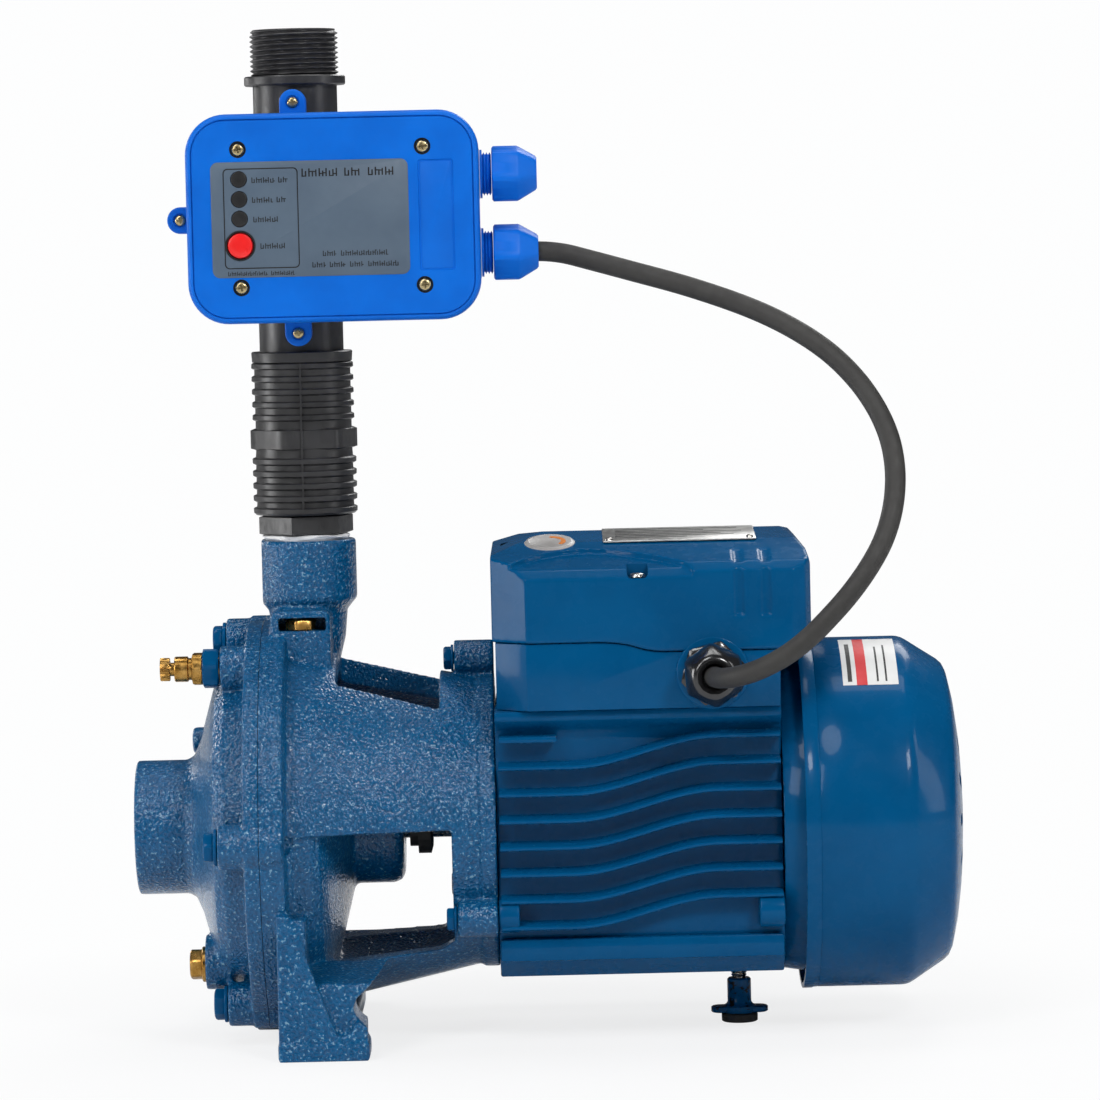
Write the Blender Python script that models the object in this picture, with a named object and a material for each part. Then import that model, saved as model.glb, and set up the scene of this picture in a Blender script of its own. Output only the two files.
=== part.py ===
"""Centrifugal water pump with a two-stage pump end, an electric motor and a flow controller.

Lengths are in metres. +X runs along the shaft from the suction port to the fan, +Z is up.
The origin is on the floor, under the discharge pipe, on the vertical plane of the shaft.
"""
import math

import bmesh
import bpy
from mathutils import Matrix, Vector
from mathutils.geometry import interpolate_bezier

MM = 0.001

# Driving dimensions, in millimetres.
SHAFT_Z = 100.0               # shaft height above the floor
SUCTION_X = -84.0             # suction face
JOINT_X = -21.3               # middle of the joint between cover and body
FLANGE_R = 98.0               # casing flange
BOLT_CIRCLE_R = 90.0          # casing bolts
CASING_BOLT_ANGLES = (-14.0, 90.0, 153.0, 207.0, 270.0)
LOBE_R = 12.0
MOTOR_X = (88.3, 222.0)       # motor frame, front and rear faces
MOTOR_BOLT_R = 78.0
MOTOR_BOLT_ANGLES = (0.0, 120.0, 240.0)
STATOR_R = 55.0
FAN_COVER_X = (232.0, 309.7)
FAN_COVER_R = 83.5
BOSS_TOP_Z = 236.7            # discharge boss
PIPE_R = 20.0
PIPE_TOP_Z = 479.0
CONTROL_Z = 389.7             # middle of the controller
CONTROL_FRONT_Y = -50.0
FOOT_HALF_WIDTH = 97.0
BOX_HALF_WIDTH = 76.0         # terminal box, half its width across the motor
JACK_X = 202.0                # rear levelling foot
CABLE_R = 4.75
GLAND_Y = -30.0               # cable glands of the controller
GLAND_Z = (408.2, 371.4)
BOX_GLAND = (190.3, 174.6)    # X and Z of the gland on the terminal box
FILL_AXIS = (-2.7, -25.4, 0.0)  # fill plug, standing upright
FILL_SEAT_Z = 195.0

# Frame for outlines in Y and Z that are extruded along X.
ALONG_X = Matrix(((0, 0, 1, 0), (1, 0, 0, 0), (0, 1, 0, 0), (0, 0, 0, 1)))

# Centre line of the control lead, from the controller's lower gland to the terminal box.
CABLE_ROUTE = (
    (104.0, -30.0, 371.4), (111.0, -30.0, 371.4), (118.5, -30.6, 371.1), (127.0, -32.4, 369.8),
    (137.5, -36.4, 366.9), (156.5, -45.0, 361.4), (184.0, -58.0, 353.2), (210.5, -71.0, 343.4),
    (230.0, -81.0, 333.6), (246.0, -89.5, 322.4), (258.0, -97.0, 310.0), (266.4, -104.0, 297.2),
    (271.6, -110.0, 284.6), (273.8, -115.0, 272.4), (273.6, -120.0, 260.2), (271.2, -125.2, 248.0),
    (266.6, -130.0, 236.2), (259.6, -134.2, 224.8), (251.0, -137.4, 213.8), (241.6, -139.4, 203.8),
    (232.4, -139.8, 195.0), (222.0, -138.0, 187.0), (209.9, -133.3, 180.4), (199.6, -124.7, 176.6),
    (192.9, -113.2, 175.0), (190.3, -100.0, 174.6), (190.3, -88.5, 174.6),
)

CAST_BLUE = ("cast_blue", (0.006, 0.080, 0.213), 0.34, 0.0)
SMOOTH_BLUE = ("smooth_blue", (0.006, 0.078, 0.205), 0.24, 0.0)
PLASTIC_BLUE = ("plastic_blue", (0.003, 0.127, 0.658), 0.42, 0.0)
BLACK_PLASTIC = ("black_plastic", (0.026, 0.026, 0.028), 0.45, 0.0)
BLACK_RUBBER = ("black_rubber", (0.035, 0.034, 0.031), 0.62, 0.0)
BRASS = ("brass", (0.42, 0.24, 0.07), 0.32, 1.0)
STEEL = ("steel", (0.52, 0.51, 0.49), 0.30, 1.0)
IRON = ("iron", (0.13, 0.13, 0.13), 0.50, 0.8)
COPPER = ("copper", (0.50, 0.19, 0.07), 0.38, 0.9)
GREY_LABEL = ("grey_label", (0.127, 0.162, 0.202), 0.50, 0.0)
RED_PLASTIC = ("red_plastic", (0.83, 0.006, 0.005), 0.30, 0.0)
BOARD_GREEN = ("board_green", (0.02, 0.12, 0.05), 0.45, 0.0)
CERAMIC = ("ceramic", (0.55, 0.53, 0.48), 0.35, 0.0)


def clear_scene():
    for obj in list(bpy.data.objects):
        bpy.data.objects.remove(obj, do_unlink=True)


def material(finish):
    name, colour, roughness, metallic = finish
    found = bpy.data.materials.get(name)
    if found:
        return found
    made = bpy.data.materials.new(name)
    made.use_nodes = True
    shader = made.node_tree.nodes["Principled BSDF"]
    shader.inputs["Base Color"].default_value = (*colour, 1.0)
    shader.inputs["Roughness"].default_value = roughness
    shader.inputs["Metallic"].default_value = metallic
    return made


# ---------------------------------------------------------------- building blocks

def new_object(name, bm, finish, frame=Matrix.Identity(4)):
    """Turn a bmesh in millimetres into an object in metres, placed by frame."""
    bmesh.ops.recalc_face_normals(bm, faces=bm.faces)
    bm.transform(Matrix.Scale(MM, 4))
    mesh = bpy.data.meshes.new(name)
    bm.to_mesh(mesh)
    bm.free()
    mesh.shade_smooth()
    mesh.set_sharp_from_angle(angle=math.radians(32))
    mesh.materials.append(material(finish))
    obj = bpy.data.objects.new(name, mesh)
    bpy.context.collection.objects.link(obj)
    place = frame.copy()
    place.translation = frame.translation * MM
    obj.matrix_world = place
    return obj


def along(axis, origin=(0.0, 0.0, 0.0)):
    """Frame whose local Z runs along the named axis, through origin (mm)."""
    turn = {
        "X": Matrix.Rotation(math.pi / 2, 4, "Y"),
        "Y": Matrix.Rotation(-math.pi / 2, 4, "X"),
        "Z": Matrix.Identity(4),
    }[axis]
    return Matrix.Translation(Vector(origin)) @ turn


def turned(name, profile, finish, frame, segments=24):
    """Solid of revolution about local Z, from (height, radius) points of its section.

    A section that starts and ends on the axis closes with a flat cap at each end.
    """
    bm = bmesh.new()
    wall = [point for point in profile if point[1] > 0.0]
    verts = [bm.verts.new((radius, 0.0, height)) for height, radius in wall]
    edges = [bm.edges.new(pair) for pair in zip(verts, verts[1:])]
    if len(wall) == len(profile):
        edges.append(bm.edges.new((verts[-1], verts[0])))
    bmesh.ops.spin(
        bm, geom=verts + edges, cent=(0, 0, 0), axis=(0, 0, 1), angle=math.tau,
        steps=segments, use_merge=True,
    )
    bmesh.ops.remove_doubles(bm, verts=bm.verts, dist=1e-5)
    bmesh.ops.holes_fill(bm, edges=[edge for edge in bm.edges if edge.is_boundary], sides=0)
    return new_object(name, bm, finish, frame)


def ring(low, high, inner, outer):
    """Section of a plain tube."""
    return ((low, inner), (low, outer), (high, outer), (high, inner))


def rod(low, high, radius):
    """Section of a plain solid cylinder."""
    return ((low, 0.0), (low, radius), (high, radius), (high, 0.0))


def prism(name, outline, low, high, finish, frame, bevel=0.0):
    """Outline in local XY, extruded from low to high along local Z."""
    bm = bmesh.new()
    face = bm.faces.new([bm.verts.new((x, y, low)) for x, y in outline])
    made = bmesh.ops.extrude_face_region(bm, geom=[face])
    top = [item for item in made["geom"] if isinstance(item, bmesh.types.BMVert)]
    bmesh.ops.translate(bm, verts=top, vec=(0, 0, high - low))
    if bevel:
        rim = [edge for edge in bm.edges if edge.verts[0].co.z == edge.verts[1].co.z]
        bmesh.ops.bevel(
            bm, geom=rim, offset=bevel, offset_type="OFFSET", segments=1,
            profile=0.5, affect="EDGES",
        )
    return new_object(name, bm, finish, frame)


def block(name, low, high, finish, bevel=0.0):
    """Box between two corners (mm), with its edges bevelled."""
    bm = bmesh.new()
    size = [b - a for a, b in zip(low, high)]
    middle = [(a + b) / 2 for a, b in zip(low, high)]
    bmesh.ops.create_cube(bm, size=1.0, matrix=Matrix.Diagonal((*size, 1.0)))
    if bevel:
        bmesh.ops.bevel(
            bm, geom=bm.edges[:], offset=bevel, offset_type="OFFSET", segments=1,
            profile=0.5, affect="EDGES",
        )
    return new_object(name, bm, finish, Matrix.Translation(Vector(middle)))


def hexagon(radius, turn=0.0):
    return [
        (radius * math.cos(turn + k * math.tau / 6), radius * math.sin(turn + k * math.tau / 6))
        for k in range(6)
    ]


def rounded_rectangle(low, high, radius, steps=4):
    """Outline with round corners, counter-clockwise."""
    (x0, y0), (x1, y1) = low, high
    corners = (
        (x1 - radius, y1 - radius, 0), (x0 + radius, y1 - radius, 1),
        (x0 + radius, y0 + radius, 2), (x1 - radius, y0 + radius, 3),
    )
    return [
        (x + radius * math.cos(a), y + radius * math.sin(a))
        for x, y, quarter in corners
        for a in [(quarter + k / steps) * math.pi / 2 for k in range(steps + 1)]
    ]


def combine(obj, other, operation):
    """Boolean with a helper solid, which is then left out of the model."""
    tool = obj.modifiers.new(operation.lower(), "BOOLEAN")
    tool.operation = operation
    tool.object = other
    tool.solver = "EXACT"
    other.hide_render = True
    other.display_type = "WIRE"


def fuse(obj, *others):
    for other in others:
        combine(obj, other, "UNION")


def cut(obj, *others):
    for other in others:
        combine(obj, other, "DIFFERENCE")


def polar(radius, degrees):
    """Y and Z of a point round the shaft; the angle runs from +Z towards -Y."""
    angle = math.radians(degrees)
    return -radius * math.sin(angle), SHAFT_Z + radius * math.cos(angle)


def shaft_frame():
    return along("X", (0.0, 0.0, SHAFT_Z))


def x_rod(name, x_range, radius, y, z, finish=CAST_BLUE, segments=12):
    """Cylinder along X through (y, z)."""
    return turned(name, rod(*x_range, radius), finish, along("X", (0, y, z)), segments)


# ---------------------------------------------------------------- pump end

def suction_cover():
    profile = (
        (SUCTION_X, 21.5), (SUCTION_X, 30.8), (SUCTION_X + 1.2, 32.0), (-59.5, 32.0), (-56.5, 35.0),
        (-45.5, 70.0), (-43.5, 74.0), (-39.0, 77.0), (-28.7, 80.0), (-28.7, FLANGE_R),
        (-22.0, FLANGE_R), (-22.0, 72.0), (-38.0, 70.0), (-40.5, 66.0), (-47.0, 46.0),
        (-50.0, 30.0), (-56.0, 23.0), (-62.0, 21.5),
    )
    cover = turned("suction_cover", profile, CAST_BLUE, shaft_frame(), 32)
    for number, angle in enumerate(CASING_BOLT_ANGLES, 1):
        y, z = polar(BOLT_CIRCLE_R, angle)
        fuse(
            cover,
            x_rod(f"cover_boss_{number}", (-40.6, -24.0), LOBE_R - 1.5, y, z),
            x_rod(f"cover_lobe_{number}", (-28.2, -22.05), LOBE_R, y, z, segments=14),
        )
    fuse(
        cover,
        x_rod("bleed_boss", (-40.6, -24.0), 10.5, -35.0, 178.5),
        x_rod("drain_boss", (-51.3, -38.5), 13.0, -30.0, 38.5),
        x_rod("gauge_boss", (-60.0, -44.5), 6.5, 44.0, 137.0, segments=12),
    )
    cut(cover, casing_bolt_holes("cover_bolt_holes", -44.0, -18.0))
    cut(cover, x_rod("bleed_hole", (-45.0, -30.0), 4.0, -35.0, 178.5, segments=12))
    cut(cover, x_rod("drain_hole", (-55.0, -42.0), 5.4, -30.0, 37.5, segments=12))
    return cover


def casing_bolt_holes(name, low, high):
    """One cutter with a hole for each casing bolt."""
    bm = bmesh.new()
    for angle in CASING_BOLT_ANGLES:
        y, z = polar(BOLT_CIRCLE_R, angle)
        made = bmesh.ops.create_cone(
            bm, cap_ends=True, segments=12, radius1=4.4, radius2=4.4, depth=high - low,
        )
        bmesh.ops.transform(
            bm, verts=made["verts"],
            matrix=Matrix.Translation(((low + high) / 2, y, z)) @ Matrix.Rotation(math.pi / 2, 4, "Y"),
        )
    return new_object(name, bm, CAST_BLUE)


def pump_body():
    bowl = (
        (JOINT_X + 0.7, 0.0), (JOINT_X + 0.7, FLANGE_R), (-10.0, FLANGE_R), (-9.0, 85.5),
        (1.0, 83.5), (6.0, 78.5), (9.0, 71.0), (15.0, 47.0), (19.0, 31.0), (20.5, 29.0),
        (40.0, 29.0), (43.5, 25.5), (43.5, 0.0),
    )
    cavity = (
        (-30.0, 0.0), (-30.0, 72.0), (5.0, 72.0), (5.0, 18.0), (38.5, 18.0), (38.5, 10.5),
        (50.0, 10.5), (50.0, 0.0),
    )
    body = turned("pump_body", bowl, CAST_BLUE, shaft_frame(), 32)
    for number, angle in enumerate(CASING_BOLT_ANGLES, 1):
        y, z = polar(BOLT_CIRCLE_R, angle)
        fuse(body, x_rod(f"body_lobe_{number}", (-20.55, -10.5), LOBE_R, y, z, segments=14))
    fuse(body, lantern(), motor_flange(), *foot(), *discharge_port())
    port = (
        (160.0, 0.0), (160.0, 6.5), (188.0, 6.5), (196.0, 15.3), (220.0, 15.3), (220.0, 18.9),
        (240.0, 18.9), (240.0, 0.0),
    )
    off_facets = Matrix.Rotation(0.1, 4, "Z")
    cut(
        body,
        turned("casing_cavity", cavity, CAST_BLUE, shaft_frame(), 32),
        turned("discharge_bore", port, CAST_BLUE, off_facets, 20),
        casing_bolt_holes("body_bolt_holes", -24.0, -6.0),
        block("fill_niche", (-13.0, -40.0, FILL_SEAT_Z), (9.5, -17.6, 201.5), CAST_BLUE),
        turned("fill_hole", rod(179.0, 199.0, 4.6), CAST_BLUE, along("Z", FILL_AXIS), 12),
    )
    for number, angle in enumerate(MOTOR_BOLT_ANGLES, 1):
        y, z = polar(MOTOR_BOLT_R, angle)
        cut(body, x_rod(f"flange_hole_{number}", (60.0, 95.0), 3.5, y, z, segments=12))
    return body


def lantern():
    """Bell between pump and motor, closed underneath and open at the sides and the top."""
    bell = ((-9.5, 76.0), (-9.5, 88.0), (86.0, 67.0), (86.0, 59.0))
    shell = turned("lantern", bell, CAST_BLUE, shaft_frame(), 32)
    side = [(-7.0, -62.0), (67.0, -55.0), (67.0, 3.0), (-7.0, 3.0)]
    windows = prism("lantern_windows", side, -130.0, 130.0, CAST_BLUE, across_shaft())
    above = block("lantern_top", (14.0, -43.0, 140.0), (62.0, 30.0, 200.0), CAST_BLUE)
    cut(shell, windows, above)
    return shell


def motor_flange():
    """End wall with the front bearing seat, and three lugs for the motor bolts."""
    plate = (
        (78.0, 28.0), (72.0, 27.0), (72.0, 12.0), (75.0, 12.0), (75.0, 20.5),
        (88.0, 20.5), (88.0, 70.0), (80.5, 70.0), (80.5, 64.0), (78.0, 60.0),
    )
    flange = turned("motor_flange", plate, CAST_BLUE, shaft_frame(), 32)
    for number, angle in enumerate(MOTOR_BOLT_ANGLES, 1):
        y, z = polar(MOTOR_BOLT_R, angle)
        fuse(flange, x_rod(f"flange_lug_{number}", (69.0, 87.9), 8.5, y, z))
    rib = [(60.0, 60.0), (60.0, 62.0), (68.5, 69.3), (69.5, 73.5), (86.0, 73.5), (86.0, 60.0)]
    fuse(
        flange,
        prism("top_rib", rib, -5.0, 5.0, CAST_BLUE, across_shaft()),
    )
    return flange


def across_shaft():
    """Frame for outlines in X and Z that are extruded across the shaft."""
    return Matrix.Translation((0, 0, SHAFT_Z)) @ Matrix.Rotation(math.pi / 2, 4, "X")


def foot():
    """Plate and cross wall, with a raised plate and a gusset at each end."""
    half = FOOT_HALF_WIDTH
    edge = half - 1.2
    base = [(-15.0, -half), (27.5, -half), (27.5, -72.0), (19.0, -72.0), (19.0, half), (-15.0, half)]
    plate = prism("foot_plate", base, 0.0, 8.0, CAST_BLUE, Matrix.Identity(4), bevel=1.0)
    wall = block("foot_wall", (-12.0, -edge, 1.0), (-1.0, edge, 66.0), CAST_BLUE)
    near_end = [
        (-14.5, -99.0), (26.6, -99.0), (26.6, -83.0), (21.5, -82.5), (18.5, -87.5), (12.7, -89.0),
        (-8.3, -32.0), (-14.5, -32.0),
    ]
    near_gusset = [
        (-11.0, -98.5), (26.0, -98.5), (26.0, -83.4), (20.5, -79.0), (22.0, -72.0), (27.5, -66.5),
        (36.0, -59.0), (36.0, -46.0), (-9.0, -33.5),
    ]
    far_end = [(-14.5, -99.0), (18.2, -99.0), (18.2, -89.0), (12.7, -89.0), (-8.3, -32.0), (-14.5, -32.0)]
    far_gusset = [
        (-11.0, -98.5), (17.5, -98.5), (17.5, -79.0), (19.0, -72.0), (36.0, -64.0), (36.0, -46.0),
        (-9.0, -33.5),
    ]
    slope = [(91.0, 1.5), (91.0, 35.0), (54.0, 41.0), (45.0, 36.0), (62.0, 20.0), (78.0, 1.5)]
    ends = []
    for tag, sign, outline, web in (("near", -1, near_end, near_gusset), ("far", 1, far_end, far_gusset)):
        low, high = sorted((-sign * 90.0, -sign * (half - 0.7)))
        ends.append(prism(f"foot_end_{tag}", outline, low, high, CAST_BLUE, across_shaft()))
        low, high = sorted((-sign * 40.0, -sign * 94.0))
        side = prism(f"foot_gusset_{tag}", web, low, high, CAST_BLUE, across_shaft())
        section = [(sign * y, z) for y, z in slope]
        combine(side, prism("gusset_slope", section, -20.0, 40.0, CAST_BLUE, ALONG_X), "INTERSECT")
        ends.append(side)
    return [plate, wall, *ends]


def discharge_port():
    boss = (
        (168.0, 0.0), (168.0, 11.5), (178.0, 14.5), (190.0, 18.0), (203.0, 19.3), (209.0, 23.5),
        (235.7, 23.5), (BOSS_TOP_Z, 22.5), (BOSS_TOP_Z, 0.0),
    )
    stack = turned("discharge_boss", boss, CAST_BLUE, along("Z"), 28)
    outline = rounded_rectangle((-17.0, 175.0), (13.0, 204.5), 3.0, 2)
    upright = Matrix.Rotation(math.pi / 2, 4, "X")
    pad = prism("fill_pad", outline, 8.0, 33.0, CAST_BLUE, upright, bevel=1.0)
    return [stack, pad]


def casing_fasteners():
    gasket = ring(JOINT_X - 0.4, JOINT_X + 0.4, 73.0, 79.0)
    turned("casing_gasket", gasket, BLACK_RUBBER, shaft_frame(), 28)
    for number, angle in enumerate(CASING_BOLT_ANGLES, 1):
        y, z = polar(BOLT_CIRCLE_R, angle)
        hex_bolt(f"casing_bolt_{number}", (-40.9, y, z), 8.6, 7.5, 4.8, 1.6, 3.9, 30.0)


def hex_bolt(name, seat, washer_r, head_r, head_h, washer_h, shank_r, length):
    """Bolt along +X whose washer rests on seat (mm)."""
    x, y, z = seat
    frame = along("X", seat)
    profile = (
        (-washer_h - 1.0, 0.0), (-washer_h - 1.0, shank_r), (-washer_h, washer_r), (0.0, washer_r),
        (0.0, shank_r), (length - 1.0, shank_r), (length, shank_r - 1.0), (length, 0.0),
    )
    bolt = turned(name, profile, STEEL, frame, 12)
    head = prism(f"{name}_head", hexagon(head_r, 0.3), -washer_h - head_h, -washer_h + 0.02, STEEL, frame)
    fuse(bolt, head)
    return bolt


def plugs_and_bleed():
    frame = along("X", (0, -30.0, 37.5))
    plug_section = (
        (-54.0, 0.0), (-54.0, 5.5), (-53.0, 8.4), (-51.6, 8.4), (-51.6, 4.9), (-43.0, 4.9), (-43.0, 0.0),
    )
    plug = turned("drain_plug", plug_section, BRASS, frame, 12)
    fuse(plug, prism("drain_plug_head", hexagon(7.6, 0.2), -59.0, -52.4, BRASS, frame))

    frame = along("Z", FILL_AXIS)
    fill = turned("fill_plug", rod(181.0, 198.0, 4.2), BRASS, frame, 12)
    fuse(fill, prism("fill_plug_head", hexagon(7.4, 0.2), FILL_SEAT_Z + 0.3, 200.4, BRASS, frame))

    frame = along("X", (0, -35.0, 178.5))
    body = (
        (-62.2, 3.0), (-62.2, 6.0), (-54.0, 6.4), (-54.0, 8.4), (-44.0, 8.4), (-44.0, 9.2),
        (-40.9, 9.2), (-40.9, 3.6), (-31.0, 3.6), (-31.0, 1.4), (-50.0, 1.4), (-50.0, 3.0),
    )
    turned("bleed_valve_body", body, BRASS, frame, 18)
    screw = (
        (-69.0, 0.0), (-69.0, 5.2), (-64.2, 5.6), (-64.2, 3.2), (-62.5, 3.2), (-62.5, 2.6),
        (-51.0, 2.6), (-51.0, 0.0),
    )
    turned("bleed_screw", screw, BRASS, frame, 18)


def impeller(name, x_back):
    """Backplate with a hub and six curved blades."""
    frame = along("X", (x_back, 0, SHAFT_Z))
    section = ((-7.0, 0.0), (-7.0, 13.0), (0.0, 13.5), (0.0, 58.0), (2.5, 58.0), (2.5, 0.0))
    wheel = turned(name, section, BRASS, frame, 24)
    for number in range(6):
        blade = prism(f"{name}_blade_{number}", blade_outline(number * math.tau / 6), -8.5, 1.0,
                      BRASS, frame)
        fuse(wheel, blade)
    cut(wheel, turned(f"{name}_bore", rod(-20.0, 10.0, 8.4), BRASS, frame, 12))


def blade_outline(start):
    """Backward-swept blade as a thin closed outline."""
    middle = []
    steps = 4
    for k in range(steps + 1):
        radius = 19.0 + 37.5 * k / steps
        angle = start + 1.05 * (k / steps) ** 0.8
        middle.append(Vector((radius * math.cos(angle), radius * math.sin(angle))))
    sides = []
    for k, point in enumerate(middle):
        ahead = middle[min(k + 1, steps)] - middle[max(k - 1, 0)]
        normal = Vector((-ahead.y, ahead.x)).normalized() * 1.1
        sides.append((point + normal, point - normal))
    return [tuple(a) for a, _ in sides] + [tuple(b) for _, b in reversed(sides)]


def wet_internals():
    impeller("impeller_first", -29.0)
    impeller("impeller_second", -2.5)
    diffuser = (
        (-22.0, 9.5), (-22.0, 63.0), (-19.0, 66.0), (-19.0, 71.4), (-13.5, 71.4), (-13.5, 66.0),
        (-15.5, 63.0), (-15.5, 14.0), (-17.0, 9.5),
    )
    turned("interstage_diffuser", diffuser, IRON, shaft_frame(), 28)
    frame = shaft_frame()
    nut = prism("impeller_nut", hexagon(9.8), -43.0, -36.6, BRASS, frame)
    cut(nut, x_rod("nut_thread", (-45.0, -35.0), 6.4, 0.0, SHAFT_Z, BRASS, 18))
    turned("seal_rotating_half", ring(9.0, 26.0, 8.4, 14.5), BLACK_RUBBER, frame, 24)
    turned("seal_seat", ring(26.4, 36.0, 9.6, 17.6), CERAMIC, frame, 24)
    turned("water_flinger", ((46.0, 8.4), (46.0, 12.0), (50.0, 12.0), (50.0, 15.5), (56.0, 15.5),
                             (57.0, 12.0), (57.0, 8.4)), BLACK_RUBBER, frame, 24)


# ---------------------------------------------------------------- motor

def shaft():
    profile = (
        (-44.5, 0.0), (-44.5, 5.0), (-43.5, 6.0), (-36.3, 6.0), (-36.3, 8.0), (74.5, 8.0),
        (74.5, 8.5), (90.0, 8.5), (90.0, 12.0), (214.0, 12.0), (214.0, 8.5), (239.5, 8.5),
        (239.5, 7.0), (262.0, 7.0), (263.0, 6.0), (263.0, 0.0),
    )
    turned("shaft", profile, STEEL, shaft_frame(), 16)


def bearings():
    for tag, low in (("front", 75.8), ("rear", 226.6)):
        outer = ((low, 15.8), (low, 20.0), (low + 12, 20.0), (low + 12, 15.8))
        inner = ((low, 8.85), (low, 12.0), (low + 12, 12.0), (low + 12, 8.85))
        turned(f"bearing_{tag}_outer", outer, STEEL, shaft_frame(), 20)
        turned(f"bearing_{tag}_inner", inner, STEEL, shaft_frame(), 16)


def electrics():
    frame = shaft_frame()
    turned("stator_core", ring(108.0, 196.0, 31.2, STATOR_R), IRON, frame, 32)
    turned("rotor_core", ring(108.0, 196.0, 12.35, 30.6), STEEL, frame, 24)
    for tag, low, high in (("front", 93.5, 107.6), ("rear", 196.4, 211.0)):
        coil = (
            (low, 38.0), (low, 48.0), (low + 3, 51.5), (high - 3, 51.5), (high, 48.0),
            (high, 38.0), (high - 3, 35.0), (low + 3, 35.0),
        )
        turned(f"winding_{tag}", coil, COPPER, frame, 20)


def frame_section():
    """Half of the motor frame's outline, as Y and Z above the shaft, from bottom to top."""
    half = [(44.0, -70.0), (58.0, -60.0), (62.0, -48.0), (62.0, 44.0), (72.0, 51.0), (72.0, 58.0)]
    return half + [(-y, z) for y, z in reversed(half)]


def motor_frame():
    low, high = MOTOR_X
    across_x = Matrix(((0, 0, 1, 0), (1, 0, 0, 0), (0, 1, 0, SHAFT_Z), (0, 0, 0, 1)))
    body = prism("motor_frame", frame_section(), low, high, SMOOTH_BLUE, across_x)
    fuse(body, cooling_fins("cooling_fins"))
    for number, angle in enumerate(MOTOR_BOLT_ANGLES, 1):
        if angle:
            y, z = polar(MOTOR_BOLT_R - 2.0, angle)
            fuse(
                body,
                x_rod(f"frame_lug_{number}", (low + 0.05, 98.0), 8.0, y, z, SMOOTH_BLUE),
                x_rod(f"rear_lug_{number}", (211.0, high - 0.05), 8.0, y, z, SMOOTH_BLUE),
            )
            y, z = polar(MOTOR_BOLT_R, angle)
            cut(body, x_rod(f"frame_hole_{number}", (80.0, 97.0), 3.5, y, z, SMOOTH_BLUE, 12))
    bore = turned("frame_bore", rod(80.0, 240.0, STATOR_R + 0.6), SMOOTH_BLUE, shaft_frame(), 32)
    cut(body, bore)
    return body


def fin_height(x, base):
    """A fin rises by one pitch along a smooth S between its two straight ends."""
    rise_start, rise_end, pitch = 124.0, 192.0, 13.2
    t = min(max((x - rise_start) / (rise_end - rise_start), 0.0), 1.0)
    return base + pitch * t * t * (3.0 - 2.0 * t)


def cooling_fins(name):
    """Seven S-shaped fins on each side of the motor, as one helper solid."""
    bm = bmesh.new()
    stations = [90.0, 124.0, 138.0, 149.0, 160.0, 171.0, 192.0, 220.5]
    pitch, lowest, thickness = 12.5, 56.5, 2.4
    for side in (-1, 1):
        for number in range(7):
            base = lowest + pitch * number
            rings = []
            for x in stations:
                z = fin_height(x, base)
                tip = 74.0 - 0.5 * abs(number - 3)
                rings.append([
                    bm.verts.new((x, side * y, z + dz))
                    for y, dz in ((58.0, -thickness), (tip, -0.8), (tip, 0.8), (58.0, thickness))
                ])
            for a, b in zip(rings, rings[1:]):
                for k in range(4):
                    bm.faces.new((a[k], a[(k + 1) % 4], b[(k + 1) % 4], b[k]))
            bm.faces.new(rings[0])
            bm.faces.new(rings[-1])
    return new_object(name, bm, SMOOTH_BLUE)


def motor_fasteners():
    for number, angle in enumerate(MOTOR_BOLT_ANGLES, 1):
        y, z = polar(MOTOR_BOLT_R, angle)
        reach = 17.0 if angle == 0.0 else 27.0
        hex_bolt(f"motor_bolt_{number}", (68.7, y, z), 6.4, 5.8, 3.6, 1.2, 3.05, reach)


def rear_end():
    frame = shaft_frame()
    shield = (
        (222.3, 57.0), (222.3, 74.0), (236.0, 76.0), (236.0, 70.0), (228.5, 66.0), (228.5, 27.0),
        (239.0, 25.0), (239.0, 20.5), (226.2, 20.5), (226.2, 12.0), (223.5, 12.0), (223.5, 57.0),
    )
    turned("rear_end_shield", shield, SMOOTH_BLUE, frame, 32)
    hub = ring(243.0, 261.0, 7.35, 13.0)
    fan = turned("cooling_fan", hub, BLACK_PLASTIC, frame, 24)
    fuse(fan, turned("fan_disc", ring(244.0, 246.5, 9.0, 62.0), BLACK_PLASTIC, frame, 24))
    for number in range(8):
        turn = Matrix.Rotation(number * math.tau / 8, 4, "X")
        blade = block(f"fan_blade_{number}", (245.0, -1.1, 11.0), (260.0, 1.1, 60.0), BLACK_PLASTIC)
        blade.matrix_world = (
            Matrix.Translation((0, 0, SHAFT_Z * MM)) @ turn @ blade.matrix_world
        )
        fuse(fan, blade)


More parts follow.
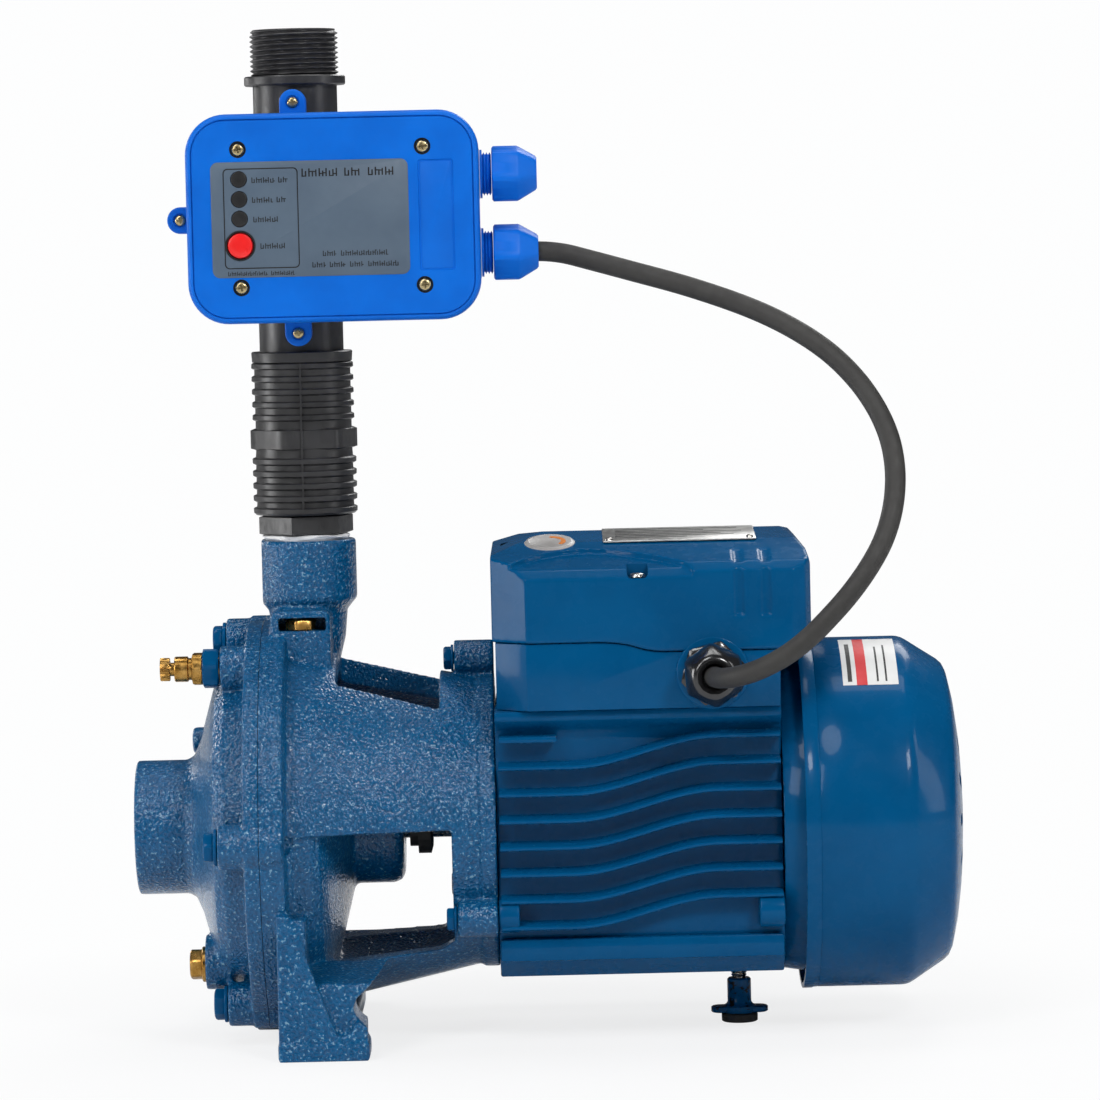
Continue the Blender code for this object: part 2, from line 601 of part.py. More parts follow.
def fan_cover():
    low, high = FAN_COVER_X
    outer = [
        (low, FAN_COVER_R + 0.5), (low + 4.5, FAN_COVER_R + 0.5), (low + 5.5, FAN_COVER_R),
        (276.0, FAN_COVER_R), (285.0, 82.0), (293.0, 77.5), (300.0, 70.5), (305.0, 60.0),
        (308.0, 40.0), (high, 18.0),
    ]
    inner = [(x - 2.0, radius - 2.0) for x, radius in outer[:2:-1]] + [(low, FAN_COVER_R - 2.0)]
    profile = [(high, 6.0)] + outer[::-1] + inner[::-1] + [(high - 2.0, 6.0)]
    cover = turned("fan_cover", profile, SMOOTH_BLUE, shaft_frame(), 32)
    slots = bmesh.new()
    count = 8
    for number in range(count):
        made = bmesh.ops.create_cube(slots, size=1.0, matrix=Matrix.Diagonal((30.0, 6.0, 26.0, 1.0)))
        spot = Matrix.Rotation((number + 0.5) * math.tau / count, 4, "X") @ Matrix.Translation((304, 0, 39))
        bmesh.ops.transform(slots, verts=made["verts"], matrix=spot)
    vents = new_object("vent_slots", slots, SMOOTH_BLUE, Matrix.Translation((0, 0, SHAFT_Z)))
    cut(cover, vents)
    return cover


def levelling_foot():
    frame = along("Z", (JACK_X, 0, 0))
    stud = (
        (10.0, 0.0), (10.0, 2.2), (11.0, 3.0), (21.4, 3.0), (21.4, 3.8), (29.6, 3.8), (29.6, 0.0),
    )
    turned("jack_stud", stud, STEEL, frame, 16)
    sleeve_section = (
        (4.4, 2.8), (4.4, 8.0), (8.6, 7.0), (8.6, 5.7), (21.0, 5.7), (21.0, 3.4), (9.5, 3.4), (9.5, 2.8),
    )
    sleeve = turned("jack_sleeve", sleeve_section, SMOOTH_BLUE, frame, 20)
    wing = prism(
        "jack_wings", rounded_rectangle((-13.6, -5.5), (13.6, 5.5), 4.5, 3), 4.5, 7.4,
        SMOOTH_BLUE, frame)
    cut(wing, turned("wing_bore", rod(0.0, 30.0, 6.0), SMOOTH_BLUE, frame, 20))
    fuse(sleeve, wing)
    pad = (
        (0.0, 0.0), (0.0, 8.2), (0.6, 8.7), (3.9, 8.7), (4.1, 8.0), (4.1, 2.4), (9.0, 2.4), (9.0, 0.0),
    )
    turned("jack_pad", pad, BLACK_RUBBER, frame, 24)


# ---------------------------------------------------------------- terminal box

def terminal_box():
    half = BOX_HALF_WIDTH
    upright = across_shaft()
    base_outline = [
        (89.5, 58.3), (221.5, 58.3), (221.8, 77.5), (231.4, 84.0), (231.4, 84.6),
        (168.0, 84.6), (158.0, 86.0), (144.0, 89.4), (88.5, 89.4),
    ]
    base = prism("terminal_box_base", base_outline, -half, half, SMOOTH_BLUE, upright)
    well = block("base_well", (93.0, -half + 4, 162.0), (217.5, half - 4, 200.0), SMOOTH_BLUE)
    gland_frame = along("Y", (BOX_GLAND[0], 0, BOX_GLAND[1]))
    gland_hole = turned("box_gland_hole", rod(-90.0, -60.0, 9.0), SMOOTH_BLUE, gland_frame, 16)
    seat = turned("box_gland_seat", rod(-77.6, -74.0, 9.8), SMOOTH_BLUE, gland_frame, 20)
    fuse(base, seat)
    cut(base, well, gland_hole)

    lid_outline = [
        (88.0, 89.8), (144.2, 89.8), (158.2, 86.4), (168.2, 85.0), (236.8, 85.0), (236.8, 126.0),
        (231.5, 135.0), (223.0, 139.5), (120.0, 139.5), (104.0, 136.0), (88.0, 130.0),
    ]
    lid = prism("terminal_box_lid", lid_outline, -half - 1.5, half + 1.5, SMOOTH_BLUE, upright)
    across_x = Matrix(((0, 0, 1, 0), (1, 0, 0, 0), (0, 1, 0, SHAFT_Z), (0, 0, 0, 1)))
    crown = [(-77.5, 80.0), (77.5, 80.0), (77.0, 122.0), (72.0, 126.5), (40.0, 134.5), (0.0, 138.5),
             (-40.0, 134.5), (-72.0, 126.5), (-77.0, 122.0)]
    combine(lid, prism("lid_crown", crown, 80.0, 245.0, SMOOTH_BLUE, across_x), "INTERSECT")
    hollow = [(-73.5, 70.0), (73.5, 70.0), (73.0, 119.0), (69.0, 122.5), (0.0, 134.5), (-69.0, 122.5),
              (-73.0, 119.0)]
    inside = prism("lid_inside", hollow, 92.0, 232.8, SMOOTH_BLUE, across_x)
    screw_x = 156.3
    notch = block("screw_pocket", (screw_x - 5.2, -90.0, 219.0), (screw_x + 5.2, -66.5, 240.0), SMOOTH_BLUE)
    cut(lid, inside, notch)
    floor = block("pocket_floor", (screw_x - 7, -76.6, 212.0), (screw_x + 7, -63.0, 219.2), SMOOTH_BLUE)
    wall = block("pocket_wall", (screw_x - 7, -66.5, 215.0), (screw_x + 7, -63.5, 224.0), SMOOTH_BLUE)
    fuse(floor, wall)
    fuse(lid, floor)
    turned("lid_screw", ((219.5, 0.0), (219.5, 4.4), (221.5, 4.4), (223.2, 2.6), (223.2, 0.0)), STEEL,
           along("Z", (screw_x, -71.6, 0)), 16)
    turned("capacitor", rod(100.0, 175.0, 17.0), BLACK_PLASTIC, along("X", (0, 30.0, 186.0)), 24)


def box_gland():
    frame = along("Y", (BOX_GLAND[0], 0, BOX_GLAND[1]))
    body = (
        (-87.5, 5.7), (-87.5, 11.5), (-82.0, 11.5), (-82.0, 13.8), (-77.9, 13.8), (-77.9, 8.5),
        (-70.0, 8.5), (-70.0, 5.7),
    )
    turned("box_gland_body", body, BLACK_PLASTIC, frame, 20)
    nut = prism("box_gland_nut", hexagon(14.2, math.pi / 6), -97.5, -87.8, BLACK_PLASTIC, frame)
    fuse(nut, turned("box_nut_cone", rod(-102.5, -96.5, 10.5), BLACK_PLASTIC, frame, 20))
    cut(nut, turned("box_nut_bore", rod(-110.0, -80.0, 5.4), BLACK_PLASTIC, frame, 16))


# ---------------------------------------------------------------- outlet and controller

def outlet_stack():
    frame = along("Z")
    hex_low, hex_high = 239.4, 248.5
    nipple = turned("hex_nipple", ring(224.0, 262.0, 13.0, 15.8), BLACK_PLASTIC, frame, 24)
    fuse(
        nipple,
        prism("nipple_hex", hexagon(23.2, 0.26), hex_low, hex_high, BLACK_PLASTIC, frame),
        turned("nipple_thread", rod(225.0, hex_low + 1.0, 18.3), BLACK_PLASTIC, frame, 24),
    )
    cut(nipple, turned("nipple_bore", rod(200.0, 270.0, 12.9), BLACK_PLASTIC, frame, 24))

    union = (
        (248.9, 16.3), (248.9, 24.8), (277.5, 24.8), (280.0, 23.0), (290.0, 23.0), (290.5, 24.1),
        (326.5, 24.1), (326.5, 20.4), (314.0, 20.4), (312.0, 16.3),
    )
    coupling = turned("union_coupling", union, BLACK_PLASTIC, frame, 32)
    collar = prism("union_hex", hexagon(26.8, 0.2), 280.0, 290.0, BLACK_PLASTIC, frame)
    cut(collar, turned("union_hex_bore", rod(270.0, 300.0, 17.5), BLACK_PLASTIC, frame, 32))
    fuse(coupling, collar)


def flow_body():
    """Black pipe of the controller, with the round chamber that the diaphragm closes."""
    frame = along("Z")
    pipe_section = (
        (315.0, 0.0), (315.0, PIPE_R), (452.5, PIPE_R), (452.5, 24.0), (457.0, 24.0),
        (457.0, 20.6), (PIPE_TOP_Z - 1.0, 20.6), (PIPE_TOP_Z, 19.6), (PIPE_TOP_Z, 0.0),
    )
    pipe = turned("flow_body", pipe_section, BLACK_PLASTIC, frame, 24)
    chamber_frame = along("Y", (0, 0, CONTROL_Z))
    chamber = turned("flow_chamber", rod(-22.0, 2.0, 45.0), BLACK_PLASTIC, chamber_frame, 24)
    fuse(pipe, chamber)
    recess = ((-30.0, 0.0), (-30.0, 40.0), (-18.5, 40.0), (-18.5, 8.0), (-8.0, 8.0), (-8.0, 0.0))
    cut(
        pipe,
        turned("flow_bore", rod(300.0, 490.0, 15.5), BLACK_PLASTIC, frame, 24),
        turned("sensing_recess", recess, BLACK_PLASTIC, chamber_frame, 24),
    )
    turned("diaphragm", ((-21.6, 0.0), (-21.6, 39.5), (-19.6, 39.5), (-19.6, 0.0)),
           BLACK_RUBBER, chamber_frame, 24)
    valve = (
        (352.0, 0.0), (352.0, 3.0), (372.0, 3.0), (372.0, 13.8), (377.0, 13.8), (384.0, 4.0),
        (396.0, 4.0), (396.0, 0.0),
    )
    turned("flow_valve", valve, BRASS, frame, 20)


def controller():
    upright = Matrix.Rotation(math.pi / 2, 4, "X")
    outline = rounded_rectangle((-47.5, 343.0), (84.0, 436.5), 17.0)
    base = prism("controller_base", outline, 22.3, 34.3, PLASTIC_BLUE, upright)
    skirt = turned("base_skirt", rod(-29.5, -22.35, 46.5), PLASTIC_BLUE, along("Y", (0, 0, CONTROL_Z)), 24)
    fuse(base, skirt)
    for number in range(4):
        angle = number * math.pi / 2
        x, z = 54.2 * math.cos(angle), CONTROL_Z + 54.2 * math.sin(angle)
        ear = turned(f"ear_{number}", rod(-29.0, -22.4, 6.2), PLASTIC_BLUE, along("Y", (x, 0, z)), 16)
        web = block(f"ear_web_{number}", (-6.1, -28.9, -18.0), (6.1, -22.5, 0.0), PLASTIC_BLUE)
        web.matrix_world = (
            Matrix.Translation((x * MM, 0, z * MM))
            @ Matrix.Rotation(math.pi / 2 - angle, 4, "Y") @ web.matrix_world
        )
        fuse(base, ear, web)
    well = prism("base_cavity", rounded_rectangle((-43.0, 348.0), (79.0, 432.0), 13.0), 30.0, 40.0,
                 PLASTIC_BLUE, upright)
    cut(base, well)
    for z in GLAND_Z:
        fuse(base, block(f"gland_pad_{z:.0f}", (82.0, -42.0, z - 12.5), (87.0, -22.6, z + 12.5),
                         PLASTIC_BLUE))
    trim = block("pad_trim", (70.0, -60.0, 330.0), (95.0, -34.3, 450.0), PLASTIC_BLUE)
    cut(base, trim)

    front = -CONTROL_FRONT_Y
    face = rounded_rectangle((-50.0, 340.7), (87.0, 438.6), 19.0)
    cover = prism("controller_cover", face, 34.7, front, PLASTIC_BLUE, upright)
    inside = prism("cover_inside", rounded_rectangle((-46.5, 344.2), (83.5, 435.1), 15.5), 30.0,
                   front - 3.0, PLASTIC_BLUE, upright)
    holes = [
        turned(f"lamp_hole_{z:.0f}", rod(-60.0, -40.0, 4.0), PLASTIC_BLUE, along("Y", (-25.0, 0, z)), 16)
        for z in (408.1, 398.8, 389.7)
    ]
    button_hole = turned("button_hole", rod(-60.0, -40.0, 6.4), PLASTIC_BLUE,
                         along("Y", (-25.0, 0, 377.2)), 20)
    cut(cover, inside, *holes, button_hole)

    label = prism("control_label", rounded_rectangle((-38.2, 362.3), (54.0, 416.2), 3.5, 3), front + 0.3,
                  front + 0.9, GREY_LABEL, upright)
    cut(label, *holes, button_hole)

    lamps = block("indicator_lens", (-30.0, -46.6, 385.4), (-20.0, -44.8, 413.0), BLACK_PLASTIC)
    for z in (408.1, 398.8, 389.7):
        peg = turned(f"lamp_{z:.0f}", rod(-51.2, -45.5, 3.6), BLACK_PLASTIC, along("Y", (-25.0, 0, z)), 14)
        fuse(lamps, peg)
    block("circuit_board", (-41.0, -39.6, 350.0), (76.0, -38.0, 430.0), BOARD_GREEN)
    button = (
        (-51.8, 0.0), (-51.8, 5.2), (-51.3, 5.8), (-46.6, 5.8), (-46.6, 7.6), (-45.2, 7.6),
        (-45.2, 2.0), (-42.2, 2.0), (-42.2, 0.0),
    )
    turned("restart_button", button, RED_PLASTIC, along("Y", (-25.0, 0, 377.2)), 20)


def controller_glands():
    bore = CABLE_R + 0.65
    for tag, z in zip(("upper", "lower"), GLAND_Z):
        frame = along("X", (0, GLAND_Y, z))
        turned(f"gland_{tag}_body", ring(87.3, 92.6, bore, 9.3), PLASTIC_BLUE, frame, 20)
        nut = prism(f"gland_{tag}_nut", hexagon(13.9, math.pi / 6), 92.9, 106.0, PLASTIC_BLUE, frame)
        cone = turned(f"gland_{tag}_cone", ((100.0, 0.0), (100.0, 11.5), (105.5, 11.5), (114.0, 7.8),
                                            (114.0, 0.0)), PLASTIC_BLUE, frame, 20)
        fuse(nut, cone)
        cut(nut, turned(f"gland_{tag}_bore", rod(80.0, 120.0, bore), PLASTIC_BLUE, frame, 16))


def control_cable():
    """Lead on a smooth curve through the route's points."""
    points = [Vector(point) for point in CABLE_ROUTE]
    samples = []
    for k in range(len(points) - 1):
        before, after = points[max(k - 1, 0)], points[min(k + 2, len(points) - 1)]
        start, end = points[k], points[k + 1]
        curve = interpolate_bezier(start, start + (end - before) / 6, end - (after - start) / 6, end, 3)
        samples += curve[:-1]
    samples.append(points[-1])
    curve = bpy.data.curves.new("control_cable", "CURVE")
    curve.dimensions = "3D"
    curve.bevel_depth = CABLE_R * MM
    curve.bevel_resolution = 2
    curve.use_fill_caps = True
    spline = curve.splines.new("POLY")
    spline.points.add(len(samples) - 1)
    for spot, sample in zip(spline.points, samples):
        spot.co = (*(sample * MM), 1.0)
    curve.materials.append(material(BLACK_RUBBER))
    bpy.context.collection.objects.link(bpy.data.objects.new("control_cable", curve))


clear_scene()
suction_cover()
pump_body()
casing_fasteners()
plugs_and_bleed()
wet_internals()
shaft()
bearings()
electrics()
motor_frame()
motor_fasteners()
rear_end()
fan_cover()
levelling_foot()
terminal_box()
box_gland()
outlet_stack()
flow_body()
controller()
controller_glands()
control_cable()
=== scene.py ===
"""Looks of a centrifugal water pump with an electric motor and a flow controller.

Shapes are drawn in millimetres in the row frame, and become pieces in metres.
"""
from math import atan2, cos, pi, radians, sin, sqrt, tau

import bmesh
import bpy
from mathutils import Matrix, Vector
from mathutils.geometry import interpolate_bezier


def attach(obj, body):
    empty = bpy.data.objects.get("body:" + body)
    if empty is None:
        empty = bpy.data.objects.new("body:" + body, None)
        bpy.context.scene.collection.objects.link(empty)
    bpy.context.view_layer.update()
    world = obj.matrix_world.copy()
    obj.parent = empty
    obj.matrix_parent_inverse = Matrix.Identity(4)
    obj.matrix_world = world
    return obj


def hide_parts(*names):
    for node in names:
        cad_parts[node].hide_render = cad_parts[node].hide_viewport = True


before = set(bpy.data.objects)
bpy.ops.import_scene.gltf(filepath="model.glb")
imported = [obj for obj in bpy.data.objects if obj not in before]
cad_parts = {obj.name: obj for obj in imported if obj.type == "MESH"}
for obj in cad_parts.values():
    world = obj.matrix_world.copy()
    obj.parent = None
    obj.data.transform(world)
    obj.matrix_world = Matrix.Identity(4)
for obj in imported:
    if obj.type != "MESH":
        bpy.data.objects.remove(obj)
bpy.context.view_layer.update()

MM = 0.001
SHAFT_Z = 100.0
FLANGE_R = 98.0
BOLT_CIRCLE_R = 90.0
CASING_BOLT_ANGLES = (-14.0, 90.0, 153.0, 207.0, 270.0)
MOTOR_BOLT_R = 78.0
MOTOR_BOLT_ANGLES = (0.0, 120.0, 240.0)
CONTROL_Z = 389.7
GLAND_Y = -30.0
GLAND_Z = (408.2, 371.4)
BOX_GLAND_X = 190.3
BOX_GLAND_Z = 174.6
FILL_AXIS = (-2.7, -25.4, 0.0)
FILL_SEAT_Z = 195.0
BLEED_AXIS = (-35.0, 178.5)
DRAIN_AXIS = (-30.0, 37.5)
CHAMBER_R = 79.3
LOBE_R = 11.7
CASING_HOLE_R = 4.4
MOTOR_HOLE_R = 3.5
FAN_R = 83.5
JACK_X = 202.0
CABLE_R = 4.75

# Centre line of the control lead, in metres.
CABLE_ROUTE = (
    (0.104, -0.03, 0.3714), (0.111, -0.03, 0.3714), (0.1185, -0.0306, 0.3711),
    (0.127, -0.0324, 0.3698), (0.1375, -0.0364, 0.3669), (0.1565, -0.045, 0.3614),
    (0.184, -0.058, 0.3532), (0.2105, -0.071, 0.3434), (0.23, -0.081, 0.3336),
    (0.246, -0.0895, 0.3224), (0.258, -0.097, 0.31), (0.2664, -0.104, 0.2972),
    (0.2716, -0.11, 0.2846), (0.2738, -0.115, 0.2724), (0.2736, -0.12, 0.2602),
    (0.2712, -0.1252, 0.248), (0.2666, -0.13, 0.2362), (0.2596, -0.1342, 0.2248),
    (0.251, -0.1374, 0.2138), (0.2416, -0.1394, 0.2038), (0.2324, -0.1398, 0.195),
    (0.222, -0.138, 0.187), (0.2099, -0.1333, 0.1804), (0.1996, -0.1247, 0.1766),
    (0.1929, -0.1132, 0.175), (0.1903, -0.1, 0.1746), (0.1903, -0.0885, 0.1746),
)


# ---- camera and studio

BACKDROP = (0.985, 0.988, 0.99)


def added(name, data):
    """A new object in the scene."""
    obj = bpy.data.objects.new(name, data)
    bpy.context.scene.collection.objects.link(obj)
    return obj


def studio():
    distance, elevation, roll = 2.5, radians(3.5), radians(-1.35)
    camera = added("camera", bpy.data.cameras.new("camera"))
    camera.data.sensor_width = 36
    camera.data.lens = 171.2
    camera.matrix_world = (
        at(0.1161, 0, 0.2286)
        @ Matrix.Rotation(pi / 2 - elevation, 4, "X")
        @ Matrix.Rotation(roll, 4, "Z")
        @ at(0, 0, distance)
    )
    bpy.context.scene.camera = camera

    # Soft boxes: name, place, point aimed at, width, height, power.
    boxes = (
        ("key", (1.05, -1.75, 1.55), (0.1, 0, 0.2), 0.5, 0.45, 23),
        ("fill", (-1.3, -1.8, 1.2), (0.1, 0, 0.2), 0.6, 0.8, 12),
        ("strip", (1.7, -0.5, 0.7), (0.2, 0, 0.2), 0.25, 1.2, 5),
        ("top", (0.1, 0.2, 1.7), (0.1, 0, 0.1), 1.3, 0.4, 8),
        ("side", (-2, -0.12, 0.35), (0.1, 0, 0.2), 0.7, 0.9, 15),
        ("rear", (0.9, 1.9, 1.7), (0.1, 0, 0.2), 0.9, 0.7, 14),
        ("rear_low", (-1.5, 1.6, 0.9), (0.1, 0, 0.2), 0.6, 0.7, 9),
    )
    for name, place, aim, width, height, power in boxes:
        light = bpy.data.lights.new(name, "AREA")
        light.shape = "RECTANGLE"
        light.size, light.size_y, light.energy = width, height, power
        aimed(name, light, place, aim)
    # Even overhead light, so that the floor keeps one brightness to the horizon.
    sun = bpy.data.lights.new("ceiling", "SUN")
    sun.energy, sun.angle = 0.9, radians(20)
    aimed("ceiling", sun, (-0.9, -1.5, 2.2), (0, 0, 0))

    world = bpy.data.worlds.new("studio")
    world.use_nodes = True
    tree = world.node_tree
    walls = tree.nodes["Background"]
    walls.inputs["Color"].default_value = (0.95, 0.97, 1, 1)
    walls.inputs["Strength"].default_value = 0.06
    backdrop = tree.nodes.new("ShaderNodeBackground")
    backdrop.inputs["Color"].default_value = (*BACKDROP, 1)
    seen = tree.nodes.new("ShaderNodeLightPath")
    blend = tree.nodes.new("ShaderNodeMixShader")
    tree.links.new(seen.outputs["Is Camera Ray"], blend.inputs[0])
    tree.links.new(walls.outputs[0], blend.inputs[1])
    tree.links.new(backdrop.outputs[0], blend.inputs[2])
    tree.links.new(blend.outputs[0], tree.nodes["World Output"].inputs["Surface"])
    bpy.context.scene.world = world
    bpy.context.scene.view_settings.view_transform = "Standard"


def aimed(name, light, place, aim):
    turn = (Vector(aim) - Vector(place)).to_track_quat("-Z", "Y").to_matrix().to_4x4()
    added(name, light).matrix_world = Matrix.Translation(place) @ turn


# ---- materials

class Look:
    """A procedural material whose textures are laid out in the piece's own space."""

    def __init__(self, name, roughness=0.4, metallic=0, coat=0, coat_roughness=0.1):
        self.material = bpy.data.materials.new(name)
        self.material.use_nodes = True
        self.tree = self.material.node_tree
        self.shader = self.tree.nodes["Principled BSDF"]
        self.fill(self.shader, Roughness=roughness, Metallic=metallic, Coat_Weight=coat,
                  Coat_Roughness=coat_roughness)
        self.coordinates = self.tree.nodes.new("ShaderNodeTexCoord").outputs["Object"]
        self.normal = None

    def fill(self, node, **inputs):
        """Set the node's sockets to values, or join them to other nodes' outputs."""
        for name, value in inputs.items():
            socket = node.inputs[name.replace("_", " ")]
            if isinstance(value, bpy.types.NodeSocket):
                self.tree.links.new(value, socket)
            else:
                socket.default_value = value

    def node(self, kind, **inputs):
        made = self.tree.nodes.new("ShaderNode" + kind)
        self.fill(made, **inputs)
        return made

    def noise(self, scale, detail=2, roughness=0.5, stretch=None):
        place = self.coordinates
        if stretch:
            place = self.node("Mapping", Scale=stretch, Vector=place).outputs["Vector"]
        made = self.node("TexNoise", Scale=scale, Detail=detail, Roughness=roughness, Vector=place)
        return made.outputs["Fac"]

    def ramp(self, value, *stops):
        made = self.node("ValToRGB", Fac=value)
        elements = made.color_ramp.elements
        while len(elements) < len(stops):
            elements.new(0.5)
        for element, (position, colour) in zip(elements, stops):
            element.position = position
            element.color = (*colour, 1)
        return made.outputs["Color"]

    def grey(self, value, low, high, start=0.3, end=0.7):
        """The value's range from start to end, stretched to run from low to high."""
        made = self.node("MapRange", Value=value, From_Min=start, From_Max=end, To_Min=low, To_Max=high)
        return made.outputs["Result"]

    def mixed(self, share, first, second):
        """Blend of two colours; the share is a number or a grey texture."""
        made = self.node("Mix")
        made.data_type = "RGBA"
        for socket, source in ((0, share), (6, first), (7, second)):
            if isinstance(source, (int, float)):
                made.inputs[socket].default_value = source
            elif isinstance(source, tuple):
                made.inputs[socket].default_value = (*source, 1)
            else:
                self.tree.links.new(source, made.inputs[socket])
        return made.outputs[2]

    def colour(self, source):
        self.fill(self.shader, Base_Color=source)

    def sheen_of(self, source):
        self.fill(self.shader, Roughness=source)

    def bump(self, height, depth_mm, strength=1):
        made = self.node("Bump", Strength=strength, Distance=depth_mm * MM, Height=height)
        if self.normal:
            self.fill(made, Normal=self.normal)
        self.normal = made.outputs["Normal"]
        self.fill(self.shader, Normal=self.normal, Coat_Normal=self.normal)


def cast_paint():
    """Thick gloss paint over sand-cast iron: deep blue, with pale pin-point flecks on the grain as painted
    highlights.
    """
    look = Look("cast_paint", roughness=0.3, coat=0.75, coat_roughness=0.04)
    look.fill(look.shader, Specular_IOR_Level=0.06)
    grain_and_glints, patches = look.noise(700, 1, 0.5), look.noise(60, 3)
    # The tone follows the grain; its last pale stop paints highlights on the highest grains in place of
    # sparkle.
    tone = look.ramp(grain_and_glints, (0.34, (0.0001, 0.052, 0.145)), (0.5, (0.0002, 0.078, 0.205)),
                     (0.65, (0.0004, 0.11, 0.27)), (0.7, (0.2, 0.38, 0.5)))
    look.colour(look.mixed(0.3, tone, look.ramp(patches, (0.35, (0.0002, 0.06, 0.162)),
                                                (0.65, (0.0004, 0.086, 0.222)))))
    look.bump(patches, 0.3, 0.5)
    look.bump(grain_and_glints, 0.85, 1)
    return look.material


def gloss_paint(name="gloss_paint", wear=0):
    look = Look(name, roughness=0.24, coat=0.12, coat_roughness=0.05)
    look.fill(look.shader, Specular_IOR_Level=0.05)
    clouds = look.noise(28, 3)
    tone = look.ramp(clouds, (0.35, (0.0002, 0.066, 0.182)), (0.65, (0.0004, 0.076, 0.205)))
    if wear:
        chips = look.ramp(look.noise(330, 4, 0.65), (0.62 - wear, (0, 0, 0)), (0.64 - wear, (1, 1, 1)))
        tone = look.mixed(chips, tone, (0.012, 0.012, 0.013))
    look.colour(tone)
    look.sheen_of(look.grey(look.noise(140, 3), 0.2, 0.32))
    look.bump(look.noise(190, 1), 0.035, 0.5)
    look.bump(look.noise(2200, 2), 0.012, 0.5)
    return look.material


def moulded(name, dark, light, roughness, grain_scale=2400, depth=0.03, coat=0):
    """Moulded plastic or rubber with a fine grain and a faint cloudiness."""
    look = Look(name, roughness=roughness, coat=coat, coat_roughness=0.25)
    look.colour(look.ramp(look.noise(45, 3), (0.35, dark), (0.65, light)))
    look.sheen_of(look.grey(look.noise(260, 3), roughness - 0.06, roughness + 0.08))
    look.bump(look.noise(grain_scale, 2, 0.6), depth, 0.7)
    return look.material


def metal(name, dark, light, roughness, scratch=(1, 1, 1)):
    look = Look(name, roughness=roughness, metallic=1)
    look.colour(look.ramp(look.noise(160, 4, 0.6), (0.36, dark), (0.66, light)))
    look.sheen_of(look.grey(look.noise(500, 3), roughness - 0.08, roughness + 0.12))
    look.bump(look.noise(900, 3, 0.6, stretch=scratch), 0.03, 0.5)
    return look.material


def white_tape():
    look = Look("ptfe_tape", roughness=0.55)
    folds = look.noise(170, 3, 0.6, stretch=(0.35, 0.35, 3))
    look.colour(look.ramp(folds, (0.35, (0.6, 0.61, 0.63)), (0.6, (0.86, 0.86, 0.87))))
    look.bump(folds, 0.5, 0.8)
    return look.material


def floor_finish():
    """Pale floor that runs into the backdrop away from the pump."""
    look = Look("floor", roughness=0.75)
    look.colour(look.ramp(look.noise(3, 2), (0.3, (0.86, 0.865, 0.87)), (0.7, (0.9, 0.9, 0.905))))
    reach = look.node("VectorMath")
    reach.operation = "DISTANCE"
    reach.inputs[1].default_value = (0.11, 0, 0)
    look.tree.links.new(look.coordinates, reach.inputs[0])
    fade = look.grey(reach.outputs["Value"], 0.8, 1, 0.12, 0.4)
    share = look.node("Math")
    share.operation = "MULTIPLY"
    glow = look.node("Emission", Color=(*BACKDROP, 1))
    blend = look.node("MixShader")
    end = look.tree.nodes["Material Output"]
    for source, target in (
            (fade, share.inputs[0]), (look.node("LightPath").outputs["Is Camera Ray"], share.inputs[1]),
            (share.outputs[0], blend.inputs[0]), (look.shader.outputs[0], blend.inputs[1]),
            (glow.outputs[0], blend.inputs[2]), (blend.outputs[0], end.inputs["Surface"])):
        look.tree.links.new(source, target)
    return look.material


def laminations():
    look = Look("laminations", roughness=0.45, metallic=0.8)
    bands = look.noise(60, 0, 0.5, stretch=(25, 0.02, 0.02))
    look.colour(look.ramp(bands, (0.3, (0.07, 0.07, 0.075)), (0.7, (0.2, 0.2, 0.21))))
    look.bump(bands, 0.15)
    return look.material


CAST = cast_paint()
GLOSS = gloss_paint()
CHIPPED = gloss_paint("chipped_paint", 0.07)
CONTROL_BLUE = moulded("control_blue", (0.0004, 0.118, 0.57), (0.0008, 0.138, 0.64), 0.42, 2600, 0.035)
CONTROL_BLUE.node_tree.nodes["Principled BSDF"].inputs["Specular IOR Level"].default_value = 0.16
BLACK = moulded("black_nylon", (0.012, 0.012, 0.013), (0.022, 0.022, 0.024), 0.42, 1500, 0.05)
GLOSS_BLACK = moulded("gloss_nylon", (0.007, 0.007, 0.008), (0.012, 0.012, 0.013), 0.16, 1500, 0.01, 0.6)
PIPE_BLACK = moulded("pipe_black", (0.016, 0.016, 0.017), (0.028, 0.028, 0.03), 0.36, 1100, 0.05)
RUBBER = moulded("rubber", (0.014, 0.014, 0.014), (0.024, 0.024, 0.023), 0.7, 1400, 0.07)
SHEATH = moulded("lead_sheath", (0.02, 0.019, 0.018), (0.028, 0.027, 0.025), 0.6, 1100, 0.06)
BRASS = metal("brass", (0.33, 0.17, 0.035), (0.58, 0.34, 0.10), 0.3)
STEEL = metal("plated_steel", (0.42, 0.41, 0.38), (0.66, 0.64, 0.6), 0.26)
GOLD_ZINC = metal("yellow_zinc", (0.38, 0.3, 0.15), (0.62, 0.52, 0.3), 0.3)
TAPE = white_tape()
LABEL_GREY = moulded("label_grey", (0.068, 0.104, 0.152), (0.08, 0.12, 0.17), 0.48, 1900, 0.012)
INK = moulded("ink", (0.004, 0.004, 0.005), (0.009, 0.009, 0.01), 0.4, 2000, 0.01)
RED = moulded("red_button", (0.72, 0.004, 0.004), (0.86, 0.008, 0.008), 0.3, 1500, 0.02, 0.3)
STICKER_WHITE = moulded("sticker_white", (0.66, 0.66, 0.65), (0.78, 0.78, 0.77), 0.4, 1500, 0.01)
STICKER_RED = moulded("sticker_red", (0.55, 0.01, 0.015), (0.66, 0.015, 0.02), 0.4, 1500, 0.01)
PLATE = metal("plate_aluminium", (0.55, 0.55, 0.54), (0.72, 0.72, 0.7), 0.36, (0.2, 6, 1))
